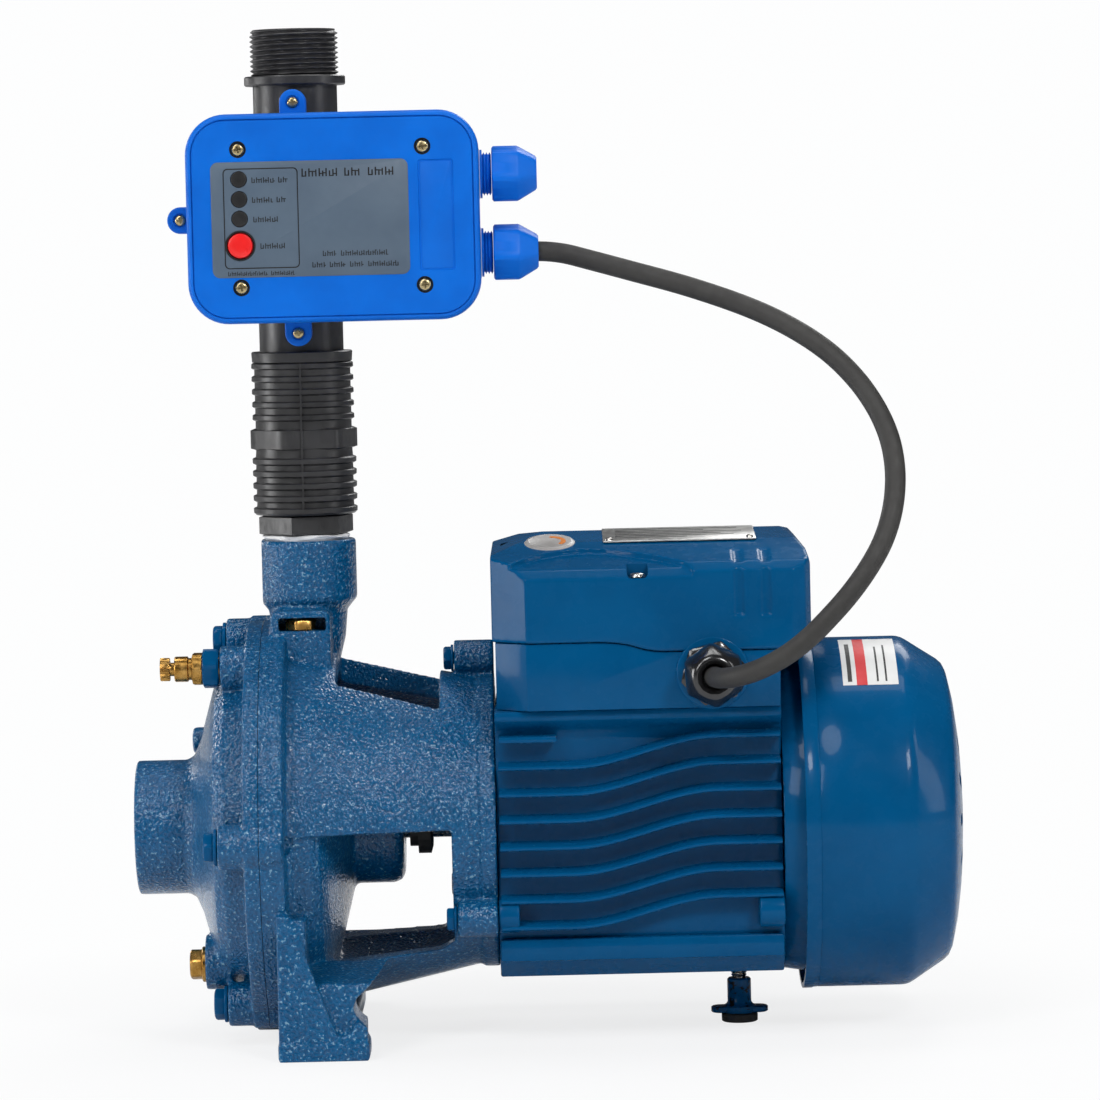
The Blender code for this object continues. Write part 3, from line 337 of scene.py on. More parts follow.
BADGE = moulded("badge_grey", (0.3, 0.29, 0.28), (0.42, 0.41, 0.4), 0.4, 1200, 0.03)
ORANGE = moulded("badge_orange", (0.55, 0.16, 0.02), (0.65, 0.2, 0.03), 0.4, 1500, 0.01)
IRON = metal("cast_iron", (0.08, 0.08, 0.085), (0.17, 0.17, 0.175), 0.5)
COPPER = metal("copper_wire", (0.42, 0.15, 0.05), (0.6, 0.25, 0.1), 0.34, (1, 6, 6))
CERAMIC = moulded("ceramic", (0.5, 0.48, 0.43), (0.6, 0.58, 0.53), 0.3, 900, 0.01)
BOARD = moulded("board_green", (0.008, 0.06, 0.025), (0.02, 0.12, 0.05), 0.35, 700, 0.05)
LAMINATED = laminations()
FLOOR = floor_finish()


# ---- shapes, in millimetres

def shape(bm, place=None):
    """A mesh object in millimetres, not yet a piece."""
    if place is not None:
        bm.transform(place)
    bmesh.ops.recalc_face_normals(bm, faces=bm.faces)
    mesh = bpy.data.meshes.new("shape")
    bm.to_mesh(mesh)
    bm.free()
    return added("shape", mesh)


def at(x, y, z):
    return Matrix.Translation((x, y, z))


def along(axis, x=0, y=0, z=0):
    """Frame whose local Z runs along the named axis, through a point."""
    angle, about = {"X": (pi / 2, "Y"), "Y": (-pi / 2, "X"), "Z": (0, "Z")}[axis]
    return at(x, y, z) @ Matrix.Rotation(angle, 4, about)


def facing(x, z):
    """Frame at a place on the near side, for an outline in X and Z that grows to -Y."""
    return at(x, 0, z) @ UPRIGHT


SHAFT = along("X", z=SHAFT_Z)
# Frames for an outline in X and Z that grows to -Y, and in Y and Z that grows to X; the second of each
# counts Z from the shaft.
UPRIGHT = Matrix.Rotation(pi / 2, 4, "X")
ACROSS = facing(0, SHAFT_Z)
ALONG_X = Matrix(((0, 0, 1, 0), (1, 0, 0, 0), (0, 1, 0, 0), (0, 0, 0, 1)))
SECTION = at(0, 0, SHAFT_Z) @ ALONG_X


def spot(radius, angle):
    """X and Y of a point on a circle."""
    return radius * cos(angle), radius * sin(angle)


def turned(profile, place, segments=96):
    """Solid of revolution about local Z from (height, radius) points."""
    bm = bmesh.new()
    rings = []
    for height, radius in profile:
        if radius <= 0:
            rings.append([bm.verts.new((0, 0, height))])
            continue
        rings.append([bm.verts.new((*spot(radius, k * tau / segments), height))
                      for k in range(segments)])
    pairs = list(zip(rings, rings[1:]))
    if len(rings[0]) > 1:
        pairs.append((rings[-1], rings[0]))
    for a, b in pairs:
        for k in range(segments):
            j = (k + 1) % segments
            corners = list(dict.fromkeys((a[k % len(a)], a[j % len(a)], b[j % len(b)], b[k % len(b)])))
            if len(corners) > 2:
                bm.faces.new(corners)
    return shape(bm, place)


def rod(low, high, radius, edge=0):
    """Profile of a plain solid cylinder, with its rims rounded by edge."""
    if not edge:
        return [(low, 0), (low, radius), (high, radius), (high, 0)]
    return [(low, 0), *rounded_rim(low, radius, edge, -1), *rounded_rim(high, radius, edge, 1), (high, 0)]


def rounded_rim(end, radius, edge, side):
    """Quarter-round points of a rim at height end; side is -1 for the low end, 1 for the high."""
    points = [
        (end - side * edge * (1 - sin(a)), radius - edge * (1 - cos(a)))
        for a in (k * pi / 8 for k in range(5))
    ]
    return points[::-1] if side < 0 else points


def prism(outline, low, high, place=None):
    bm = bmesh.new()
    face = bm.faces.new([bm.verts.new((x, y, low)) for x, y in outline])
    made = bmesh.ops.extrude_face_region(bm, geom=[face])
    top = [item for item in made["geom"] if isinstance(item, bmesh.types.BMVert)]
    bmesh.ops.translate(bm, verts=top, vec=(0, 0, high - low))
    return shape(bm, place)


def block(low, high, place=None):
    (x0, y0, z0), (x1, y1, z1) = low, high
    return prism([(x0, y0), (x1, y0), (x1, y1), (x0, y1)], z0, z1, place)


def loft(rings, place=None, tube=False):
    """Solid through a stack of outlines; a tube joins the last to the first and has no ends."""
    bm = bmesh.new()
    made = [[bm.verts.new(point) for point in ring] for ring in rings]
    count = len(made[0])
    for a, b in zip(made, made[1:] + made[:1] if tube else made[1:]):
        for k in range(count):
            bm.faces.new((a[k], a[(k + 1) % count], b[(k + 1) % count], b[k]))
    if not tube:
        bm.faces.new(made[0])
        bm.faces.new(made[-1])
    return shape(bm, place)


def rounded(low, high, radius, inset=0, steps=8):
    """Rectangle with round corners, drawn in by inset."""
    (x0, y0), (x1, y1) = low, high
    r = max(radius, 0.05)
    corners = ((x1 - r, y1 - r, 0), (x0 + r, y1 - r, 1), (x0 + r, y0 + r, 2), (x1 - r, y0 + r, 3))
    reach = max(r - inset, 0.02)
    return [
        (x + reach * cos(a), y + reach * sin(a))
        for x, y, quarter in corners
        for a in [(quarter + k / steps) * pi / 2 for k in range(steps + 1)]
    ]


def slab(low, high, radius, levels, place, steps=8):
    """Rounded rectangle whose outline is drawn in by the second number at each level."""
    return loft([[(x, y, level) for x, y in rounded(low, high, radius, inset, steps)]
                 for level, inset in levels], place)


def edges_of(low, high, edge):
    """Levels of a slab from low to high with its top rim rounded."""
    arc = [k * pi / 8 for k in range(5)]
    return [(low, 0)] + [(high - edge * (1 - sin(a)), edge * (1 - cos(a))) for a in arc]


def applied(obj, kind, **settings):
    """The object with one modifier, made real."""
    modifier = obj.modifiers.new("step", kind)
    for name, value in settings.items():
        setattr(modifier, name, value)
    graph = bpy.context.evaluated_depsgraph_get()
    mesh = bpy.data.meshes.new_from_object(obj.evaluated_get(graph))
    obj.modifiers.clear()
    obj.data = mesh
    return obj


def joined(*objects):
    """One mesh that holds the faces of all the objects."""
    bm = bmesh.new()
    for obj in objects:
        bm.from_mesh(obj.data)
        bpy.data.objects.remove(obj)
    mesh = bpy.data.meshes.new("shape")
    bm.to_mesh(mesh)
    bm.free()
    return added("shape", mesh)


def boolean(obj, others, operation):
    for other in others:
        before = obj.data.copy()
        applied(obj, "BOOLEAN", operation=operation, object=other, solver="MANIFOLD")
        if not obj.data.polygons:
            obj.data = before
            applied(obj, "BOOLEAN", operation=operation, object=other, solver="EXACT")
        bpy.data.objects.remove(other)
    return obj


def cut(obj, *others):
    return boolean(obj, others, "DIFFERENCE")


def fuse(obj, *others):
    return boolean(obj, others, "UNION")


def cast(objects, voxel, passes):
    """The objects run into one solid, with the soft edges and fillets of a casting."""
    made = joined(*objects)
    applied(made, "REMESH", mode="VOXEL", voxel_size=voxel)
    return applied(made, "SMOOTH", factor=0.5, iterations=passes)


def bevelled(obj, width, segments=3, angle=35):
    return applied(obj, "BEVEL", width=width, segments=segments, limit_method="ANGLE",
                   angle_limit=radians(angle), use_clamp_overlap=True)


def piece(name, obj, finish, replaces=None, body="pump", sharp=38):
    """Make the shape a piece in metres that moves with a body and stands for a CAD node."""
    obj.data.transform(Matrix.Scale(MM, 4))
    obj.name = obj.data.name = name
    obj.data.materials.clear()
    obj.data.materials.append(finish)
    obj.data.shade_smooth()
    obj.data.set_sharp_from_angle(angle=radians(sharp))
    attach(obj, body)
    if replaces:
        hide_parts(replaces)


def dress(finish, *names):
    """Give the finish to parts of the frame that no piece stands for."""
    for name in names:
        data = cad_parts[name].data
        data.materials.clear()
        data.materials.append(finish)
        data.shade_smooth()
        data.set_sharp_from_angle(angle=radians(32))


def polar(radius, degrees):
    """Y and Z of a point round the shaft; the angle runs from +Z towards -Y."""
    angle = radians(degrees)
    return -radius * sin(angle), SHAFT_Z + radius * cos(angle)


def pin(low, high, radius, place, segments=64, edge=0):
    """Plain cylinder along local Z, with its rims rounded by edge."""
    return turned(rod(low, high, radius, edge), place, segments)


def x_rod(low, high, radius, y, z, segments=32, edge=0):
    return pin(low, high, radius, along("X", 0, y, z), segments, edge)


def ring_of(angles, circle, low, high, radius, segments=32):
    """Rods along the shaft's direction at each angle of a bolt circle."""
    return [x_rod(low, high, radius, *polar(circle, angle), segments) for angle in angles]


# ---- the lead

def control_lead():
    points = [Vector(point) for point in CABLE_ROUTE]
    samples = []
    for k in range(len(points) - 1):
        before, after = points[max(k - 1, 0)], points[min(k + 2, len(points) - 1)]
        start, end = points[k], points[k + 1]
        span = interpolate_bezier(start, start + (end - before) / 6, end - (after - start) / 6, end, 7)
        samples += span[:-1]
    samples.append(points[-1])
    curve = bpy.data.curves.new("control_lead", "CURVE")
    curve.dimensions = "3D"
    curve.bevel_depth = CABLE_R * MM
    curve.bevel_resolution = 7
    curve.use_fill_caps = True
    line = curve.splines.new("POLY")
    line.points.add(len(samples) - 1)
    for spot, sample in zip(line.points, samples):
        spot.co = (*sample, 1)
    line.use_smooth = True
    curve.materials.append(SHEATH)
    lead = added("control_lead", curve)
    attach(lead, "pump")
    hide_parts("control_cable")


# ---- pump end

def casing_body():
    """Bowl, lantern, motor flange, foot and discharge boss, cast in one."""
    bowl = ((-24, 0), (-24, FLANGE_R), (-10, FLANGE_R), (-9, 86), (1, 83.5), (6, 78.5), (9, 71), (15, 47),
            (19, 31), (20.5, 29), (38.5, 29), (42, 27.5), (43.5, 24), (43.5, 0))
    shell = turned(((-9.5, 76), (-9.5, 88), (86, 67), (86, 59)), SHAFT, 144)
    side = [(-7, -62), (60, -56), (67, -52), (67, 3), (-4, 3), (-7, 0)]
    cut(shell, prism(side, -130, 130, ACROSS), block((14, -43, 140), (62, 30, 200)))
    plate = ((72, 12), (75, 12), (75, 20.5), (88, 20.5), (88, 70), (80.5, 70), (80.5, 64), (78, 60), (78, 28),
             (72, 27))
    rib = [(60, 60), (60, 62), (68.5, 69.3), (69.5, 73.5), (86, 73.5), (86, 60)]
    boss = ((168, 0), (168, 11.5), (178, 14.5), (190, 17.6), (203, 18.8), (208.5, 23.5), (235.9, 23.5),
            (236.7, 22.9), (236.7, 0))
    body = cast([
        turned(bowl, SHAFT, 144), *ring_of(CASING_BOLT_ANGLES, BOLT_CIRCLE_R, -24, -10.5, LOBE_R, 48),
        shell, turned(plate, SHAFT, 144), *ring_of(MOTOR_BOLT_ANGLES, MOTOR_BOLT_R, 69, 87.9, 8.5),
        prism(rib, -5, 5, ACROSS), *foot_solids(), turned(boss, along("Z")),
        slab((-17, 175), (11.5, 204.5), 3.5, edges_of(8, 33, 1), UPRIGHT),
    ], 0.95, 5)
    cavity = ((-30, 0), (-30, CHAMBER_R), (-20.85, CHAMBER_R), (-20.85, 72), (5, 72), (5, 18), (38.5, 18),
              (38.5, 10.5), (50, 10.5), (50, 0))
    port = ((160, 0), (160, 6.5), (188, 6.5), (196, 15.3), (215, 15.3), (217, 18.9), (235, 18.9), (238, 20.6),
            (240, 20.6), (240, 0))
    bearing_seat = ((71, 0), (71, 12), (75, 12), (75, 20.5), (95, 20.5), (95, 0))
    niche = slab((-13, FILL_SEAT_Z), (9.5, 201.3), 1.2, [(17.6, 0), (40, 0)], UPRIGHT)
    cut(body, block((-60, -130, -10), (-21.15, 130, 260)), turned(cavity, SHAFT), turned(port, along("Z")),
        niche, pin(179, 199, 4.6, along("Z", *FILL_AXIS), 32),
        *ring_of(CASING_BOLT_ANGLES, BOLT_CIRCLE_R, -24, -6, CASING_HOLE_R),
        *ring_of(MOTOR_BOLT_ANGLES, MOTOR_BOLT_R, 60, 95, MOTOR_HOLE_R), turned(bearing_seat, SHAFT, 64))
    piece("casing_body", body, CAST, "pump_body", sharp=50)


def foot_solids():
    """Base plate, cross wall, and an end plate and gusset on each side; the far end is smaller."""
    half = 97
    edge = half - 1.2
    base = [(-15, -half), (27.5, -half), (27.5, -72), (19, -72), (19, half), (-15, half)]
    solids = [prism(base, 0, 8), block((-12, -edge, 1), (-1, edge, 66))]
    near_end = [(-14.5, -99), (26.6, -99), (26.6, -84.5), (24, -82.5), (21.5, -82.5), (18.5, -87.5)]
    far_end = [(-14.5, -99), (18.2, -99), (18.2, -89)]
    end_top = [(12.7, -89), (-8.3, -32), (-14.5, -32)]
    near_gusset = [(26, -98.5), (26, -84), (22.5, -81.5), (20.5, -78.5), (20.2, -75.5), (22, -71.5),
                   (27.5, -66.5), (36, -59)]
    far_gusset = [(17.5, -98.5), (17.5, -79), (19, -72), (36, -64)]
    slope = [(91, 1.5), (91, 35), (54, 41), (45, 36), (62, 20), (78, 1.5)]
    for sign, end, web in ((-1, near_end, near_gusset), (1, far_end, far_gusset)):
        solids.append(prism(end + end_top, -sign * 90, -sign * (half - 0.5), ACROSS))
        gusset = prism([(-11, -98.5), *web, (36, -46), (-9, -33.5)], -sign * 40, -sign * 94, ACROSS)
        section = prism([(sign * y, z) for y, z in slope], -20, 40, ALONG_X)
        solids.append(boolean(gusset, [section], "INTERSECT"))
    return solids


def casing_cover():
    """Front cover with the suction boss, bolt lobes and tapped bosses."""
    profile = (
        (-84, 21.5), (-84, 31.2), (-83.2, 32), (-60, 32), (-56.5, 34), (-53, 42), (-46, 67), (-44, 72.5),
        (-39, 76.5), (-28.7, 79.5), (-28.7, FLANGE_R), (-19, FLANGE_R), (-19, 72), (-38, 70), (-40.5, 66),
        (-47, 46), (-50, 30), (-56, 23), (-62, 21.5),
    )
    cover = cast([
        turned(profile, SHAFT, 144), *ring_of(CASING_BOLT_ANGLES, BOLT_CIRCLE_R, -40.6, -24, 10.5),
        *ring_of(CASING_BOLT_ANGLES, BOLT_CIRCLE_R, -28.2, -19, LOBE_R, 48),
        x_rod(-40.6, -24, 10.5, *BLEED_AXIS), x_rod(-51.3, -38.5, 13, -30, 38.5),
        x_rod(-60, -44.5, 6.5, 44, 137, edge=2),
    ], 0.85, 4)
    suction = ((-90, 0), (-90, 22.6), (-83, 22.6), (-82, 21.6), (-60, 21.6), (-60, 0))
    cut(cover, block((-21.45, -130, -10), (0, 130, 260)), pin(-21.75, 0, CHAMBER_R, SHAFT, 96),
        turned(suction, SHAFT, 64), x_rod(-45, -30, 4, *BLEED_AXIS), x_rod(-56, -42, 5.4, *DRAIN_AXIS),
        *ring_of(CASING_BOLT_ANGLES, BOLT_CIRCLE_R, -44, -18, CASING_HOLE_R))
    piece("casing_cover", cover, CAST, "suction_cover", sharp=50)


# ---- fasteners

def hex_loft(levels, place, turn=0):
    """Solid through hexagons of (height, corner radius, roundness); a roundness of 1 is a circle."""
    count = 48
    rings = []
    for height, radius, roundness in levels:
        flat = radius * cos(pi / 6)
        ring = []
        for a in (k * tau / count for k in range(count)):
            side = flat / cos((a - turn) % (pi / 3) - pi / 6)
            ring.append((*spot(side * (1 - roundness) + flat * roundness, a), height))
        rings.append(ring)
    return loft(rings, place)


def hex_head(radius, height, place, turn):
    """Hexagon head with a chamfered crown, standing up from local zero."""
    return hex_loft(((0, radius * 0.97, 0.1), (0.4, radius, 0.03), (height - radius * 0.16, radius, 0),
                     (height - radius * 0.05, radius, 0.55), (height, radius * 0.9, 0.9)), place, turn)


def bolt(name, x, y, z, washer_r, head_r, head_h, washer_h, shank_r, reach, turn):
    """Bolt along +X whose washer rests at x."""
    outward = at(x, y, z) @ Matrix.Rotation(-pi / 2, 4, "Y")
    solid = turned([(-reach, 0), (-reach, shank_r - 1), (1 - reach, shank_r), (0, shank_r),
                    *rounded_rim(0, washer_r, 0.3, -1), *rounded_rim(washer_h, washer_r, 0.4, 1),
                    (washer_h, 0)], outward, 40)
    head = hex_head(head_r, head_h, outward @ at(0, 0, washer_h - 0.05), turn)
    piece(name, fuse(solid, head), GLOSS, name)


def phillips(name, place, radius, finish=STEEL, replaces=None):
    """Pan head with a cross recess; local Z points out of the surface."""
    dome = [(-1.5, 0), (-1.5, radius * 0.55), (-0.2, radius * 0.6), (0, radius)]
    dome += [(radius * 0.5 * sin(a), radius * cos(a) ** 0.6) for a in (k * pi / 16 for k in range(1, 7))]
    head = turned([*dome, (radius * 0.5, 0)], None, 40)
    for turn in (0.2, 0.2 + pi / 2):
        slot = block((-radius * 0.55, -radius * 0.11, radius * 0.12), (radius * 0.55, radius * 0.11, radius),
                     Matrix.Rotation(turn, 4, "Z"))
        cut(head, slot)
    head.data.transform(place)
    piece(name, head, finish, replaces, sharp=30)


def fasteners():
    for number, angle in enumerate(CASING_BOLT_ANGLES, 1):
        y, z = polar(BOLT_CIRCLE_R, angle)
        bolt(f"casing_bolt_{number}", -40.9, y, z, 8.6, 7.5, 4.8, 1.6, 3.9, 30, 0.35 * number)
    for number, angle in enumerate(MOTOR_BOLT_ANGLES, 1):
        y, z = polar(MOTOR_BOLT_R, angle)
        reach = 27 if angle else 17
        bolt(f"motor_bolt_{number}", 68.7, y, z, 6.4, 5.8, 3.6, 1.2, 3.05, reach, 0.4 * number)


def knurled(low, high, radius, teeth, place):
    """Ring of fine teeth along local Z."""
    points = teeth * 4
    outline = [spot(radius - (0.45 if k % 4 in (2, 3) else 0), k * tau / points) for k in range(points)]
    return bevelled(prism(outline, low, high, place), 0.35, 2, 60)


def brassware():
    frame_x = along("X", 0, *BLEED_AXIS)
    body = turned([(-62.2, 3), (-62.2, 5.6), (-61.7, 6), (-56, 6), (-55.5, 5.2), (-54.2, 5.2), (-53.9, 6.4),
                   (-53, 6.4), (-53, 7.6), (-49.3, 7.6), (-49.3, 6), (-40.9, 6), (-40.9, 3.6), (-31, 3.6),
                   (-31, 1.4), (-50, 1.4), (-50, 3)], frame_x, 64)
    hexes = hex_loft(((-54, 7.2, 0.9), (-53.5, 8.3, 0.2), (-49.8, 8.3, 0.2), (-49.3, 7.4, 0.9)), frame_x, 0.5)
    piece("bleed_valve", fuse(body, cut(hexes, pin(-56, -40, 7, frame_x, 48))), BRASS, "bleed_valve_body")
    collar = hex_loft(((-49, 8.9, 0.9), (-48.4, 10.1, 0.1), (-42.2, 10.1, 0.1), (-41.2, 9.4, 0.7)),
                      frame_x, 0.3)
    piece("bleed_collar", cut(collar, pin(-56, -40, 6.1, frame_x, 48)), GLOSS)

    screw = turned([(-64.6, 0), (-64.6, 3.4), (-64, 3.2), (-62.5, 3.2), (-62.5, 2.6), (-51, 2.6), (-51, 0)],
                   frame_x, 40)
    knob = knurled(-69, -64.4, 5.5, 22, frame_x)
    slot = block((-0.5, -4, -70), (0.5, 4, -67.6), frame_x)
    piece("bleed_screw", cut(fuse(screw, knob), slot), BRASS, "bleed_screw", body="bleed_knob")

    frame_x = along("X", 0, *DRAIN_AXIS)
    plug = turned([(-54, 0), (-54, 5.5), (-53.2, 8), (-52.8, 8.4), (-51.6, 8.4), (-51.6, 4.9), (-43, 4.9),
                   (-43, 0)], frame_x, 48)
    head = hex_loft(((-59, 6.6, 0.9), (-58.6, 7.4, 0.4), (-58, 7.6, 0), (-52.9, 7.6, 0)), frame_x, 0.2)
    piece("drain_plug", fuse(plug, head), BRASS, "drain_plug")

    upward = along("Z", *FILL_AXIS)
    head = hex_loft(((195.3, 6.9, 0.4), (195.6, 7.35, 0), (199.5, 7.35, 0), (200, 7.1, 0.3),
                     (200.4, 6.5, 0.8)), upward, 0.25)
    piece("fill_plug", fuse(pin(181, 198, 4.2, upward, 48), head), BRASS, "fill_plug")


# ---- motor

def fin_height(x, base):
    t = min(max((x - 124) / 68, 0), 1)
    return base + 13.2 * t * t * (3 - 2 * t)


def motor_shell():
    """Motor frame with waved fins on both sides, and the rim of the rear end shield."""
    half = [(44, -70), (58, -60), (62, -48), (62, 44), (64, 49), (72, 53.5), (72, 58)]
    section = half + [(-y, z) for y, z in reversed(half)]
    shell = bevelled(prism(section, 88.3, 222, SECTION), 1, 2, 25)
    for side in (-1, 1):
        for number in range(7):
            tip, base = 74 - 0.5 * abs(number - 3), 56.5 + 12.5 * number
            rings = []
            for k in range(33):
                x = 89.6 + 131.6 * k / 32
                z = fin_height(x, base)
                rings.append([(x, side * y, z + dz) for y, dz in (
                    (59, -2.8), (62.5, -2.1), (tip - 0.9, -1.1), (tip - 0.2, -0.7), (tip, 0),
                    (tip - 0.2, 0.7), (tip - 0.9, 1.1), (62.5, 2.1), (59, 2.8))])
            fuse(shell, loft(rings))
        for low, high, depth, soft in (((90, 143.2), (117, 146.2), (58, 72), 0.8),
                                       ((88.8, 40), (221.5, 50.5), (60, 66), 1.2)):
            outline = [low, (high[0], low[1]), high, (low[0], high[1])]
            fuse(shell, bevelled(prism(outline, *(-side * y for y in depth), UPRIGHT), soft, 2))
    for angle in MOTOR_BOLT_ANGLES[1:]:
        y, z = polar(MOTOR_BOLT_R - 2, angle)
        fuse(shell, x_rod(88.4, 98, 8, y, z, edge=1), x_rod(210, 221.9, 8, y, z, edge=1))
        cut(shell, x_rod(80, 97, MOTOR_HOLE_R, *polar(MOTOR_BOLT_R, angle)))
    cut(shell, pin(80, 240, 55.6, SHAFT, 96))
    piece("motor_shell", shell, GLOSS, "motor_frame")

    shield = [(222.3, 57), (222.3, 73.4), (222.9, 74), (235.4, 76), (236, 75.4), (236, 70), (228.5, 66),
              (228.5, 27), (239, 25), (239, 20.5), (226.2, 20.5), (226.2, 12), (223.5, 12), (223.5, 57)]
    piece("end_shield", turned(shield, SHAFT, 128), GLOSS, "rear_end_shield")


def fan_housing():
    """Fan cover with a conical shoulder and two rings of slots in its end."""
    outer = [(232, 84), (236.2, 84), (236.9, 83.6), (238.7, FAN_R), (239, 83.2), (239.4, FAN_R), (255, FAN_R),
             (270, FAN_R), (279, FAN_R), (281, 83.3), (283, 82.7), (285, 81.6), (292, 77), (299.4, 72.2),
             (301.6, 70.2), (303, 67.4), (305.4, 57), (307.6, 42), (309, 26), (309.7, 12), (309.7, 6)]
    inner = [(x - 2, max(radius - 2, 6)) for x, radius in outer[:5:-1]] + [(232, 81.5)]
    housing = turned(outer + [(307.7, 6)] + inner[1:], SHAFT, 160)
    slots = 16
    for number in range(slots):
        place = (at(0, 0, SHAFT_Z)
                 @ Matrix.Rotation(number * tau / slots, 4, "X") @ ALONG_X)
        for inside, outside, half in ((19, 33, 1.6), (37, 54, 2.6)):
            cut(housing, slab((-half, inside), (half, outside), half, [(292, 0), (316, 0)], place, 4))
    piece("fan_housing", housing, GLOSS, "fan_cover", sharp=45)
    for number, angle in enumerate((205, 250, 290, 335)):
        y, z = polar(83.4, angle)
        place = at(234.4, y, z) @ Matrix.Rotation(radians(angle), 4, "X")
        phillips(f"housing_screw_{number}", place, 2.6)


def wrapped(name, x_range, z_range, finish, lift=0.12):
    """Thin sticker bent round the fan housing on the near side."""
    (x0, x1), (z0, z1), steps = x_range, z_range, 24
    rings = []
    for k in range(steps + 1):
        z = z0 + (z1 - z0) * k / steps
        under, over = (-sqrt(level ** 2 - (z - SHAFT_Z) ** 2) for level in (FAN_R + 0.02, FAN_R + lift))
        rings.append([(x0, under, z), (x1, under, z), (x1, over, z), (x0, over, z)])
    piece(name, loft(rings), finish, sharp=60)


def caution_sticker():
    """Plain sticker: white with a red band, and thin rules in place of words."""
    wrapped("sticker", (252, 278), (165, 183), STICKER_WHITE)
    wrapped("sticker_band", (258.5, 263.5), (165, 183), STICKER_RED, 0.2)
    for number, (x, z) in enumerate(((254.4, 181.5), (268, 180.5), (272, 181))):
        wrapped(f"sticker_rule_{number}", (x, x + (0.9 if number else 2)), (166.5, z), INK, 0.2)


# ---- terminal box

def plan(x0, x1, half, left, right):
    """Outline of the box from above, with its front corners cut back."""
    return [(x0, half - left * 0.9), (x0, -half + left * 0.9), (x0 + left, -half), (x1 - right, -half),
            (x1 - right * 0.3, -half + right * 0.3), (x1, -half + right), (x1, half - right),
            (x1 - right * 0.3, half - right * 0.3), (x1 - right, half), (x0 + left, half)]


def crown(drop):
    """Solid under the lid's ridged top, let down by drop."""
    half = [(77.5, 80), (77.2, 122), (72.5, 126.3), (40, 134.5), (0, 137.6)]
    points = [(-y, z - drop) for y, z in half] + [(y, z - drop) for y, z in reversed(half[:-1])]
    return prism(points, 80, 245, SECTION)


def terminal_box():
    """Box on the motor with a joint that steps down at the right, and its crowned lid."""
    outline = [(89.5, 58.3), (221.5, 58.3), (221.8, 77.5), (231.4, 84), (231.4, 84.6), (168, 84.6),
               (163, 85), (158, 86), (151, 88.2), (144, 89.2), (136, 89.5), (89.5, 89.5)]
    base = prism(outline, -76, 76, ACROSS)
    boolean(base, [prism(plan(89.5, 231.4, 76, 14.5, 5), 150, 200)], "INTERSECT")
    gland = along("Y", BOX_GLAND_X, 0, BOX_GLAND_Z)
    bevelled(base, 1, 3, 25)
    fuse(base, pin(-77.6, -74, 17, gland, 64, 1))
    cut(base, prism(plan(93.5, 217.5, 72, 16, 5), 162, 200), pin(-90, -60, 9, gland, 48))
    piece("box_base", base, GLOSS, "terminal_box_base")

    outline = [(88, 89.9), (136, 89.9), (144.2, 89.6), (151.2, 88.5), (158.2, 86.4), (163.2, 85.4),
               (168.2, 85), (236.8, 85), (236.8, 124), (235.4, 130), (231.5, 134.4), (226, 137.6),
               (220, 139.5), (122, 139.5), (112, 137.6), (100, 134.2), (88, 130)]
    lid = prism(outline, -77.5, 77.5, ACROSS)
    boolean(lid, [prism(plan(88, 236.8, 77.5, 16.5, 9), 150, 245), crown(0)], "INTERSECT")
    arc = [(96, -90), (96, -72), (104, -63), (113, -56), (122, -51.5), (131, -50),
           (142, -51.5), (154, -56), (166, -63), (176, -70.5), (182, -76), (182, -90)]
    cut(lid, cut(prism(arc, 200, 260), crown(2.5)))
    for x in (203.2, 215.8):
        flute = [(x - 2.4, -79.5), (x + 2.4, -79.5), (x + 2.4, -76.6), (x, -75.9), (x - 2.4, -76.6)]
        cut(lid, prism(flute, 201, 240))
        groove = [(-77.9, 226), (-72.6, 225.4), (-56, 229.7), (-56, 240), (-80, 240)]
        cut(lid, prism(groove, x - 2.4, x + 2.4, ALONG_X))
    lid = cast([lid], 0.7, 2)
    inside = [(-73.5, 60), (73.5, 60), (73, 118), (69, 121), (0, 133), (-69, 121), (-73, 118)]
    hollow = prism(inside, 92.5, 231, SECTION)
    cut(lid, boolean(hollow, [prism(plan(92.5, 231, 73.5, 19, 11), 150, 245)], "INTERSECT"))
    screw = 156.3
    shelf = fuse(block((screw - 6.5, -76.4, 214), (screw + 6.5, -63, 219.2)),
                 block((screw - 6.5, -66.5, 215), (screw + 6.5, -63.5, 224)))
    pocket = slab((screw - 4.9, 219), (screw + 4.9, 245), 2.5, [(66.5, 0), (90, 0)], UPRIGHT)
    fuse(cut(lid, pocket), shelf)
    piece("box_lid", lid, GLOSS, "terminal_box_lid", sharp=45)
    phillips("box_lid_screw", at(screw, -71.6, 219.5), 4, replaces="lid_screw")


